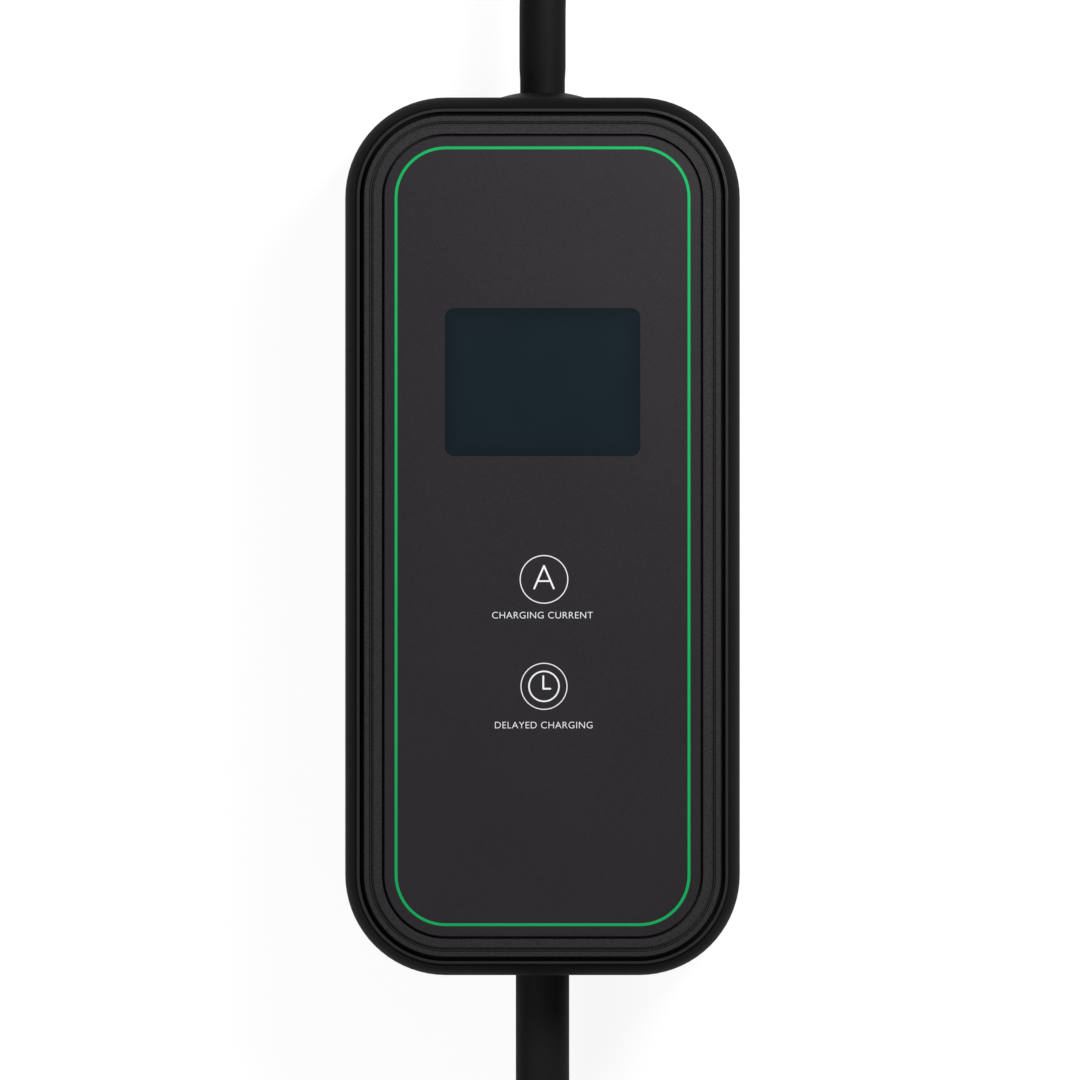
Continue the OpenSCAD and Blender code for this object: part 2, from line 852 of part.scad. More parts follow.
module bulk_capacitors() {
    crimp_in = 0.5;
    crimp_z = 3;
    crimp_t = 1;
    vent_in = 1.4;
    vent_t = 0.6;
    color("#26292f")
        for (place = bulk_at) on_board(place) rotate_extrude() {
            square([bulk_r, crimp_z]);
            square([bulk_r - crimp_in, bulk_h]);
            translate([0, crimp_z + crimp_t]) square([bulk_r, bulk_h - crimp_z - crimp_t]);
            square([bulk_r - vent_in, bulk_h + vent_t]);
        }
}

module filter_capacitor() {
    color("#c9b26a")
        on_board(filter_at) rounded_block(filter_w, filter_l, filter_h, 1);
}

module surge_varistors() {
    leg = 0.8;
    color("#2f5f9e")
        for (place = varistor_at) on_board(place) {
            translate([0, 0, varistor_z])
                rotate([90, 0, 0]) cylinder(r = varistor_r, h = varistor_t, center = true, $fn = 48);
            for (x = [-1, 1])
                translate([x * varistor_r / 2 - leg / 2, -leg / 2, 0])
                    cube([leg, leg, varistor_z - varistor_r / 2]);
        }
}

// Tube fuse in two end caps, each in a clip
module line_fuse() {
    clip_w = 4;
    clip_l = 3;
    color("#d9dadb")
        on_board(fuse_at) {
            translate([0, 0, fuse_z])
                rotate([90, 0, 0]) cylinder(r = fuse_r, h = fuse_l, center = true, $fn = 32);
            for (y = [-1, 1]) translate([0, y * (fuse_l - fuse_cap_l) / 2, 0]) {
                translate([0, 0, fuse_z])
                    rotate([90, 0, 0]) cylinder(r = fuse_cap_r, h = fuse_cap_l, center = true, $fn = 32);
                translate([-clip_w / 2, -clip_l / 2, 0]) cube([clip_w, clip_l, fuse_z - fuse_r / 2]);
            }
        }
}

module controller_chip() {
    stand_off = 0.3;
    leg_l = 1.2;
    leg_w = 0.4;
    leg_h = 0.7;
    color("#1a1a1c")
        on_board(chip_at) translate([0, 0, stand_off]) rounded_block(chip_w, chip_w, chip_h, 0.3);
    color(tin)
        on_board(chip_at)
            for (k = [0 : 3], i = [-4 : 4]) rotate([0, 0, 90 * k])
                translate([chip_w / 2, i * chip_w / 10 - leg_w / 2, 0]) cube([leg_l, leg_w, leg_h]);
}

// Screw terminals: wire holes in the outer side, screw wells on top
module terminals(poles, pitch, side) {
    well_d = 5;
    well_t = 3;
    difference() {
        translate([0, side * (board_l - terminal_l) / 2, board_top])
            rounded_block(poles * pitch, terminal_l, terminal_h, 0.8);
        for (i = [0 : poles - 1]) translate([(i - (poles - 1) / 2) * pitch, 0, board_top]) {
            translate([0, side * (board_l / 2 - wire_in), wire_h])
                rotate([-side * 90, 0, 0]) cylinder(d = wire_d + 2 * clearance, h = wire_in + cut, $fn = 32);
            translate([0, side * (board_l / 2 - wire_in + well_d / 2), terminal_h - well_t])
                cylinder(d = well_d, h = well_t + cut, $fn = 32);
        }
    }
}

module input_terminals() {
    color("#4d7a52") terminals(3, mains_pitch, 1);
}

module output_terminals() {
    color("#4d7a52") terminals(2, vehicle_pitch, -1);
}

module buzzer() {
    hole_r = 1;
    color("#151517")
        on_board(buzzer_at)
            rotate_extrude() translate([hole_r, 0]) square([buzzer_r - hole_r, buzzer_h]);
}

// Wires

// From the cut end of a jacket, down and into a terminal's hole
module terminal_wire(from_x, to_x, side, d) {
    hole_y = board_l / 2 - wire_in;
    entry_z = board_top + wire_h;
    tube(
        [
            [from_x, side * jacket_y, split_z], [from_x, side * (jacket_y - 2), split_z],
            [from_x * 0.7 + to_x * 0.3, side * (jacket_y - 4.5), split_z * 0.7 + entry_z * 0.3],
            [from_x * 0.2 + to_x * 0.8, side * (board_l / 2 + 4), split_z * 0.2 + entry_z * 0.8],
            [to_x, side * (board_l / 2 + 1), entry_z], [to_x, side * hole_y, entry_z],
        ],
        d, [0, -side, 0], [0, -side, 0], side = [1, 0, 0], sides = 8
    );
}

module mains_line_wire() {
    color("#7a4a2b") terminal_wire(-mains_wire_x, -mains_pitch, 1, wire_d);
}

module mains_neutral_wire() {
    color("#2f63b5") terminal_wire(mains_wire_x, mains_pitch, 1, wire_d);
}

module mains_earth_wire() {
    color("#8fae3c") terminal_wire(0, 0, 1, wire_d);
}

// From the cut end of the vehicle lead's jacket, through the sensor ring and down into the board
module sensed_wire(x) {
    ring_z = board_top + sensor_r + sensor_lift;
    foot_y = sensor_y + 8.5;
    tube(
        [
            [x, -jacket_y, split_z], [x, -jacket_y + 4, split_z], [x, sensor_y - 17, split_z - 1],
            [x, sensor_y - 9, ring_z], [x, sensor_y, ring_z], [x, sensor_y + 5, ring_z - 0.5],
            [x, sensor_y + 8, ring_z - 4], [x, foot_y, board_top + 5], [x, foot_y, board_top],
        ],
        wire_d, [0, 1, 0], [0, 0, -1], side = [1, 0, 0], sides = 8
    );
}

module vehicle_line_wire() {
    color("#7a4a2b") sensed_wire(-sensed_wire_x);
}

module vehicle_neutral_wire() {
    color("#2f63b5") sensed_wire(sensed_wire_x);
}

module vehicle_earth_wire() {
    color("#8fae3c") terminal_wire(-vehicle_wire_x, -vehicle_pitch / 2, -1, vehicle_earth_d);
}

module pilot_wire() {
    color("#d8d4cc") terminal_wire(vehicle_wire_x, vehicle_pitch / 2, -1, wire_d * 0.5);
}

// Lead entries

// Grommet section, x from the lead's axis and y from the middle of the box: sleeve, flange and neck
module grommet_section(lead_r, neck_r) {
    polygon([
        [lead_r, end_in - flange_t - sleeve_l], [lead_r + 1.4, end_in - flange_t - sleeve_l],
        [neck_r - 1, end_in - flange_t], [neck_r + flange_step, end_in - flange_t],
        [neck_r + flange_step, end_in], [neck_r, end_in], [neck_r, end_y], [lead_r, end_y],
    ]);
}

module mains_grommet() {
    ball_r = (dome_r * dome_r + dome_h * dome_h) / (2 * dome_h);
    color(cord_black)
        along_mains()
            rotate_extrude($fn = 96) {
                grommet_section(mains_d / 2, mains_neck);
                intersection() {
                    translate([0, end_y + dome_h - ball_r]) circle(ball_r, $fn = 256);
                    translate([mains_d / 2, end_y]) square([dome_r, dome_h + cut]);
                }
            }
}

module vehicle_grommet() {
    color(cord_black)
        along_vehicle()
            rotate_extrude($fn = 96) grommet_section(vehicle_d / 2, vehicle_neck);
}

// Saddle over a lead with an ear on each side
module lead_clamp(side, d) {
    below = 2 * (clamp_x + clamp_post_r) + cut;
    translate([0, side * clamp_y, split_z])
        difference() {
            union() {
                rotate([90, 0, 0]) cylinder(r = d / 2 + clamp_t, h = clamp_l, center = true);
                linear_extrude(ear_t) rounded_rect(2 * (clamp_x + clamp_post_r), clamp_l, 2);
            }
            rotate([90, 0, 0]) cylinder(d = d, h = clamp_l + 2 * cut, center = true);
            translate([0, 0, -below / 2]) cube(below, center = true);
            for (x = [-1, 1])
                translate([x * clamp_x, 0, -cut])
                    cylinder(d = small_d + 2 * clearance, h = ear_t + 2 * cut, $fn = 32);
        }
}

module mains_clamp() {
    color("#3b3d40") lead_clamp(1, mains_d);
}

module vehicle_clamp() {
    color("#3b3d40") lead_clamp(-1, vehicle_d);
}

module clamp_screws() {
    color(tin)
        for (x = [-1, 1], y = [-1, 1]) translate([x * clamp_x, y * clamp_y, split_z + ear_t])
            pan_screw(small_d, small_screw_l + ear_t - 1, small_head_r, small_head_t);
}

// Mains lead

module mains_lead() {
    color(cord_black) tube(mains_route, mains_d, [0, 1, 0], [0, 1, 0]);
}

module at_mains_hank() {
    translate([mains_hank_at[0], mains_hank_at[1], 0]) children();
}

module mains_hank() {
    color(cord_black)
        at_mains_hank()
            difference() {
                hank(mains_d, mains_bend_r, mains_run, 1);
                strap_channels(mains_strap_x, mains_d, mains_strap_places);
            }
}

module mains_tail() {
    color(cord_black)
        at_mains_hank()
            tube(tail_points(mains_bend_r, mains_d / 2, plug_at[2]), mains_d, [0, -1, 0], [0, 1, 0]);
}

module mains_tie() {
    color("#2c2d30")
        at_mains_hank() straps(mains_strap_x, mains_d, 1, mains_strap_places);
}

// Puts a piece made along Z on the plug's axis, z = 0 where the lead enters it
module along_plug() {
    translate(plug_at) rotate([-90, 0, 0]) children();
}

module plug_body() {
    ribs = 4;
    rib_t = 2.4;
    slot_t = clip_in + cut;
    earth_hole_d = 5.4;
    earth_hole_l = 15;
    earth_hole_in = 10;
    color(cord_black)
        along_plug()
            difference() {
                union() {
                    rotate_extrude()
                        polygon([
                            [0, 0], [mains_d / 2 + 1.5, 0], [mains_d / 2 + 3.5, plug_sleeve_l],
                            [plug_d / 2 - 5, plug_sleeve_l + 4], [plug_d / 2, plug_face - 16],
                            [plug_d / 2, plug_face - 1], [plug_d / 2 - 1, plug_face], [0, plug_face],
                        ]);
                    for (i = [1 : ribs])
                        translate([0, 0, plug_sleeve_l * i / (ribs + 1)])
                            cylinder(r = mains_d / 2 + 4, h = rib_t, center = true);
                }
                for (s = [-1, 1])
                    translate([s * (plug_d / 2 - clip_in + slot_t / 2), 0, plug_face + (cut - clip_l) / 2])
                        cube([slot_t, clip_w, clip_l + cut], center = true);
                translate([0, -earth_hole_in, plug_face - earth_hole_l])
                    cylinder(d = earth_hole_d, h = earth_hole_l + cut, $fn = 40);
                for (s = [-1, 1]) translate([s * pin_pitch / 2, 0, plug_face - pin_root_l])
                    cylinder(d = pin_root_d, h = pin_root_l + cut, $fn = 40);
            }
}

module plug_pins() {
    color(tin)
        along_plug()
            for (s = [-1, 1]) translate([s * pin_pitch / 2, 0, plug_face]) {
                translate([0, 0, -pin_root_l]) cylinder(d = pin_root_d, h = pin_root_l + 0.1, $fn = 40);
                cylinder(d = pin_d, h = pin_l - pin_d / 2, $fn = 40);
                translate([0, 0, pin_l - pin_d / 2]) sphere(d = pin_d, $fn = 40);
            }
}

module plug_earth_clips() {
    color(tin)
        along_plug()
            for (s = [-1, 1]) translate([s * (plug_d / 2 - clip_in + clip_t / 2), 0, plug_face - clip_l / 2])
                cube([clip_t, clip_w, clip_l], center = true);
}

// Vehicle lead

module vehicle_lead() {
    color(cord_black) tube(vehicle_route, vehicle_d, [0, -1, 0], [0, -1, 0]);
}

// The vehicle hank is the mirror image of the mains hank, with its runs along -Y
module at_vehicle_hank() {
    translate([vehicle_hank_at[0], vehicle_hank_at[1], 0]) mirror([0, 1, 0]) children();
}

module vehicle_hank() {
    color(cord_black)
        at_vehicle_hank()
            difference() {
                hank(vehicle_d, vehicle_bend_r, vehicle_run, vehicle_layers);
                strap_channels(vehicle_strap_x, vehicle_d, vehicle_strap_places);
            }
}

module vehicle_tail() {
    color(cord_black)
        at_vehicle_hank()
            tube(
                tail_points(vehicle_bend_r, hank_top - vehicle_d / 2, boot_z), vehicle_d, [0, -1, 0], [0, 1, 0]
            );
}

module vehicle_tie() {
    color("#2c2d30")
        at_vehicle_hank() straps(vehicle_strap_x, vehicle_d, vehicle_layers, vehicle_strap_places);
}

// Vehicle connector

module connector_boot() {
    ribs = 5;
    rib_t = 3;
    rib_step = 1.2;
    tip_r = vehicle_d / 2 + 2;
    root_r = handle_r - 2;
    color(cord_black)
        translate([connector_x, vehicle_hank_at[1], boot_z]) rotate([90, 0, 0]) {
            cylinder(r1 = tip_r, r2 = root_r, h = boot_l, $fn = 48);
            for (i = [1 : ribs])
                translate([0, 0, boot_l * i / (ribs + 1)])
                    cylinder(
                        r = tip_r + (root_r - tip_r) * i / (ribs + 1) + rib_step,
                        h = rib_t, center = true, $fn = 48
                    );
        }
}

// Half of the handle: the rings' half circles on one side of the middle plane
module handle_half(side) {
    steps = 16;
    translate([connector_x, handle_y, 0])
        skinned([
            for (s = handle_stations)
                [for (k = [0 : steps])
                    let (a = 90 - 180 * k / steps)
                    [side * s[1] * cos(a), -s[0] * handle_l, s[2] + side * s[1] * sin(a)]]
        ]);
}

module connector_left_shell() {
    color(shell_black) handle_half(-1);
}

module connector_right_shell() {
    color(shell_black) handle_half(1);
}

// Puts a piece made along Z on the nose's axis, z = 0 at distance y and growing towards the open end
module along_nose(y) {
    translate([connector_x, y, nose_z]) rotate([90, 0, 0]) children();
}

// Round outline with a flat on top
module flat_top_round(r) {
    intersection() {
        circle(r, $fn = 96);
        translate([-r, -r]) square([2 * r, 1.72 * r]);
    }
}

module connector_shroud() {
    color(shell_black)
        along_nose(nose_y)
            difference() {
                linear_extrude(shroud_l) flat_top_round(shroud_d / 2);
                translate([0, 0, shroud_back])
                    linear_extrude(shroud_l) flat_top_round(shroud_d / 2 - shroud_wall);
            }
}

module connector_insert() {
    color("#2a2b2e")
        along_nose(insert_y)
            linear_extrude(insert_t) flat_top_round(shroud_d / 2 - shroud_wall - clearance);
}

// Tubes that stand on the insert, each round one contact
module towers(places, sleeve_r) {
    along_nose(tower_y)
        for (p = places) translate([p[0], p[1], 0])
            difference() {
                cylinder(r = sleeve_r + tower_wall, h = tower_l, $fn = 48);
                translate([0, 0, -cut]) cylinder(r = sleeve_r, h = tower_l + 2 * cut, $fn = 48);
            }
}

module power_towers() {
    color("#2a2b2e") towers(power_places, power_sleeve_r);
}

module signal_towers() {
    color("#2a2b2e") towers(signal_places, signal_sleeve_r);
}

// Sleeve contacts that fill their towers up to a short step behind the tip
module contact_sleeves(places, bore, outer_r) {
    back = 1;
    along_nose(tower_y)
        for (p = places) translate([p[0], p[1], 0])
            difference() {
                cylinder(r = outer_r, h = tower_l - back, $fn = 48);
                translate([0, 0, cut]) cylinder(d = bore, h = tower_l, $fn = 48);
            }
}

module power_contacts() {
    color(brass)
        contact_sleeves([for (i = [0 : 2]) power_places[i]], power_bore, power_sleeve_r);
}

module signal_contacts() {
    color(brass)
        contact_sleeves(signal_places, signal_bore, signal_sleeve_r);
}

rear_shell();
front_shell();
housing_seal();
housing_screws();
front_panel();
border_line();
panel_bond();
display_window();
display_glass();
display_can();
display_board();
touch_springs();
board_headers();
flat_cable();
board_screws();
main_board();
power_relays();
leakage_sensor();
supply_transformer();
bulk_capacitors();
filter_capacitor();
surge_varistors();
line_fuse();
controller_chip();
input_terminals();
output_terminals();
buzzer();
mains_line_wire();
mains_neutral_wire();
mains_earth_wire();
vehicle_line_wire();
vehicle_neutral_wire();
vehicle_earth_wire();
pilot_wire();
mains_grommet();
vehicle_grommet();
mains_clamp();
vehicle_clamp();
clamp_screws();
mains_lead();
mains_hank();
mains_tail();
mains_tie();
plug_body();
plug_pins();
plug_earth_clips();
vehicle_lead();
vehicle_hank();
vehicle_tail();
vehicle_tie();
connector_boot();
connector_left_shell();
connector_right_shell();
connector_shroud();
connector_insert();
power_towers();
signal_towers();
power_contacts();
signal_contacts();
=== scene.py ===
import json
import math

import bmesh
import bpy
import numpy as np
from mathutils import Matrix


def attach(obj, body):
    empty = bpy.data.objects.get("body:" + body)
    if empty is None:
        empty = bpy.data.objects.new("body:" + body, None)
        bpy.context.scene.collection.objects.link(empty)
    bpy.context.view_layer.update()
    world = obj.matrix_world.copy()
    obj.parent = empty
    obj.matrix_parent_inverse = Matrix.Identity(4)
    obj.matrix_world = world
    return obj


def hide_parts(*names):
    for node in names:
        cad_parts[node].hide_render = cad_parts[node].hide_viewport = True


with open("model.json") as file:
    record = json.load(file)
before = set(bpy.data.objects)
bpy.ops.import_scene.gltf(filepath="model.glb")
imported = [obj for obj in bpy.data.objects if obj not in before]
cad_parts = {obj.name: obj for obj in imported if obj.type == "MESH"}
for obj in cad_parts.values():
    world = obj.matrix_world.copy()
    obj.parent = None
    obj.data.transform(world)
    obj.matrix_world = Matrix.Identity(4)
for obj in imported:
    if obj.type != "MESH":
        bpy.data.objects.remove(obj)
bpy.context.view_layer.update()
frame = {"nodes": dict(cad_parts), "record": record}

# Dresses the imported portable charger: both leads as wound cables, the printed front, the handle of the
# vehicle connector, the straps round the hanks, and the finish of every surface. Lengths below are in
# millimetres and become metres when a mesh is made.
MM = 0.001

# Places and sizes that the solids have too
CORNER_AXIS = (24.5, 85.7)      # centres of the box's round corners
FRAME_EDGE = 20.6               # where the frame turns down into the groove, out from those axes
FRAME_LINE = 19.0               # the fine line round the frame
# the flanks of the fine line are where its shade is painted dark
LINE_FLANK = (0.26, 0.13)       # how far the flanks of that line lie from its middle, and their half width
# the crest is painted lighter than the flank, partly its own grey and partly a painted highlight
CREST = (22.1, 0.38, 52.4)      # middle and half width of the polished crest, and the height it starts at
# over the same heights the grey of the sides goes over to the near-black painted shade of the rim's flank
SMOOTH_RIM = (44.0, 47.0)       # between these heights the grain of the sides goes over to the smooth rim
PANEL_TOP = 53.8
WINDOW = (0.0, 39.0, 49.4, 37.4)                # middle, width and length
KEY_X, UPPER_KEY, LOWER_KEY = 0.37, -10.9, -37.95
LEAD_Z = 27.0                   # the leads leave the box in the joint between its shells
JACKET_END = 83.2               # the jackets are cut behind the clamps
COLLAR_Y = 114.6                # where the collar grips the mains lead
MAINS_D, VEHICLE_D = 11.8, 13.6
TIE_W, TIE_T = 16.0, 1.2


# Meshes

def resample(points, step):
    """Points again at equal steps along their line: each coordinate as a function of the length walked."""
    walked = np.concatenate([[0], np.cumsum(np.linalg.norm(np.diff(points, axis=0), axis=1))])
    at = np.linspace(0, walked[-1], max(2, int(round(walked[-1] / step)) + 1))
    return np.stack([np.interp(at, walked, points[:, k]) for k in range(3)], axis=1)


def smooth_through(points, per_span=16):
    """A curve through points: on each span a cubic whose slopes are half the step between the neighbours."""
    p = np.asarray(points, float)
    p = np.vstack([2 * p[0] - p[1], p, 2 * p[-1] - p[-2]])
    t = np.linspace(0, 1, per_span, endpoint=False)[None, :, None]
    a, b, c, d = (p[k:len(p) - 3 + k, None, :] for k in range(4))
    spans = b + 0.5 * t * (c - a + t * (2 * a - 5 * b + 4 * c - d + t * (3 * (b - c) + d - a)))
    return np.vstack([spans.reshape(-1, 3), p[-2]])


def skin(name, grid, material, ring=False, sharp=40, **attributes):
    """A closed surface over a grid of points in mm: row i is a ring round the piece, and rows follow its
    path. A flat face closes the first and the last row, or, with ring, the last row joins the first. A
    surface whose enclosed volume comes out negative is inside out, and its faces are turned."""
    rows, around = grid.shape[:2]
    i, k = np.meshgrid(np.arange(rows if ring else rows - 1), np.arange(around), indexing="ij")
    i2, k2 = (i + 1) % rows, (k + 1) % around
    corners = [i * around + k, i * around + k2, i2 * around + k2, i2 * around + k]
    faces = np.stack(corners, axis=-1).reshape(-1, 4).tolist()
    if not ring:
        faces += [list(range(around))[::-1], list(range((rows - 1) * around, rows * around))]
    mesh = bpy.data.meshes.new(name)
    mesh.from_pydata((grid.reshape(-1, 3) * MM).tolist(), [], faces)
    shape = bmesh.new()
    shape.from_mesh(mesh)
    if shape.calc_volume(signed=True) < 0:
        mesh.flip_normals()
    shape.free()
    for key, values in attributes.items():
        written = mesh.attributes.new(key, "FLOAT_VECTOR", "POINT")
        written.data.foreach_set("vector", np.asarray(values, np.float32).ravel())
    return place(name, mesh, material, sharp)


def place(name, mesh, material, sharp=40):
    """Puts a mesh into the scene as a piece of the charger, smooth except along edges sharper than sharp
    degrees."""
    mesh.polygons.foreach_set("use_smooth", np.ones(len(mesh.polygons), bool))
    mesh.set_sharp_from_angle(angle=math.radians(sharp))
    mesh.materials.append(material)
    mesh.validate()
    piece = bpy.data.objects.new(name, mesh)
    bpy.context.scene.collection.objects.link(piece)
    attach(piece, "root")
    return piece


# Finishes

# Inputs of the Mix and Map Range nodes that share their name with others, by number, and the mixed colour
FLOAT_A, FLOAT_B, COLOUR_A, COLOUR_B = 2, 3, 6, 7
FROM_LOW, FROM_HIGH, TO_LOW, TO_HIGH = 7, 8, 9, 10
MIXED = 2

# Two noises added together lie mostly between these
SUM_LOW, SUM_HIGH = 0.6, 1.4

MOTTLE = 14.0                   # size of the cloudy patches on moulded pieces
GLOSS_SPREAD = 0.05             # how far their roughness moves to both sides
TOOL_GRAIN = 0.55               # about 0.2 on the real shells, drawn this coarse so that it shows
GROOVE_FLOOR, GROOVE_MOUTH, GROOVE_DEPTH = 0.05, 0.35, 0.3      # joint of the shells: half widths, depth
WINDOW_SHADE = 6.0              # width of the darker border of the display window
JACKET_LINES = 8.0              # lines across the radius of a lead, which sets them about 0.8 apart
JACKET_LINE_L = 62.5            # their length
WEAVE_ROW, WEAVE_LOOP = 0.9, 0.7                # distance of the strap's rows, and of the loops in them
WAVE_ANGLE = 20.0               # radians that a band wave of scale 1 runs through in one unit of length


def linear(colour):
    """An sRGB hex colour as linear RGBA: a channel c becomes c / 12.92 up to 0.04045, else
    ((c + 0.055) / 1.055) ** 2.4."""
    c = np.array([int(colour[i:i + 2], 16) for i in (1, 3, 5)]) / 255
    return (*np.where(c <= 0.04045, c / 12.92, ((c + 0.055) / 1.055) ** 2.4).tolist(), 1.0)


def add(tree, kind, fields=(), sockets=()):
    """Adds a node: fields are its own settings, sockets its inputs, each a value or an output to link."""
    made = tree.nodes.new(kind)
    for name, value in dict(fields).items():
        setattr(made, name, value)
    for name, value in dict(sockets).items():
        if isinstance(value, bpy.types.NodeSocket):
            tree.links.new(value, made.inputs[name])
        else:
            made.inputs[name].default_value = value
    return made


def begin(name, **values):
    """An empty material: (material, its tree, its Principled shader, Object coordinates)."""
    material = bpy.data.materials.new(name)
    material.use_nodes = True
    tree = material.node_tree
    shader = tree.nodes["Principled BSDF"]
    for key, value in values.items():
        shader.inputs[key.replace("_", " ")].default_value = value
    return material, tree, shader, add(tree, "ShaderNodeTexCoord").outputs["Object"]


def per_mm(size):
    """The scale that gives a pattern cells of that size in mm, on coordinates in metres."""
    return 1 / (size * MM)


def relief(tree, shader, height, depth, strength=1.0):
    """Lets a height from 0 to 1 stand for depth mm of relief."""
    bump = add(tree, "ShaderNodeBump", {}, {"Height": height, "Distance": depth * MM, "Strength": strength})
    tree.links.new(bump.outputs["Normal"], shader.inputs["Normal"])


def moulded(name, colour, roughness, grain, depth, spread=0.10, **values):
    """A moulded, drawn or dipped piece: its grain, in mm, gives a fine relief of that depth, and a wide
    mottle of spread moves colour and gloss."""
    material, tree, shader, at = begin(name, **values)
    fine = add(tree, "ShaderNodeTexNoise", {}, {"Vector": at, "Scale": per_mm(grain), "Detail": 3.0})
    wide = add(tree, "ShaderNodeTexNoise", {}, {"Vector": at, "Scale": per_mm(MOTTLE), "Detail": 2.0})
    both = add(tree, "ShaderNodeMath", {"operation": "ADD"},
               {0: fine.outputs["Fac"], 1: wide.outputs["Fac"]})
    base = np.array(linear(colour))[:3]
    tint = add(tree, "ShaderNodeMapRange", {"data_type": "FLOAT_VECTOR"},
               {"Vector": both.outputs[0], FROM_LOW: (SUM_LOW,) * 3, FROM_HIGH: (SUM_HIGH,) * 3,
                TO_LOW: base * (1 - spread), TO_HIGH: np.minimum(base * (1 + spread), 1)})
    tree.links.new(tint.outputs["Vector"], shader.inputs["Base Color"])
    gloss = add(tree, "ShaderNodeMapRange", {},
                {"Value": both.outputs[0], "From Min": SUM_LOW, "From Max": SUM_HIGH,
                 "To Min": roughness - GLOSS_SPREAD, "To Max": roughness + GLOSS_SPREAD})
    tree.links.new(gloss.outputs["Result"], shader.inputs["Roughness"])
    relief(tree, shader, fine.outputs["Fac"], depth)
    return material


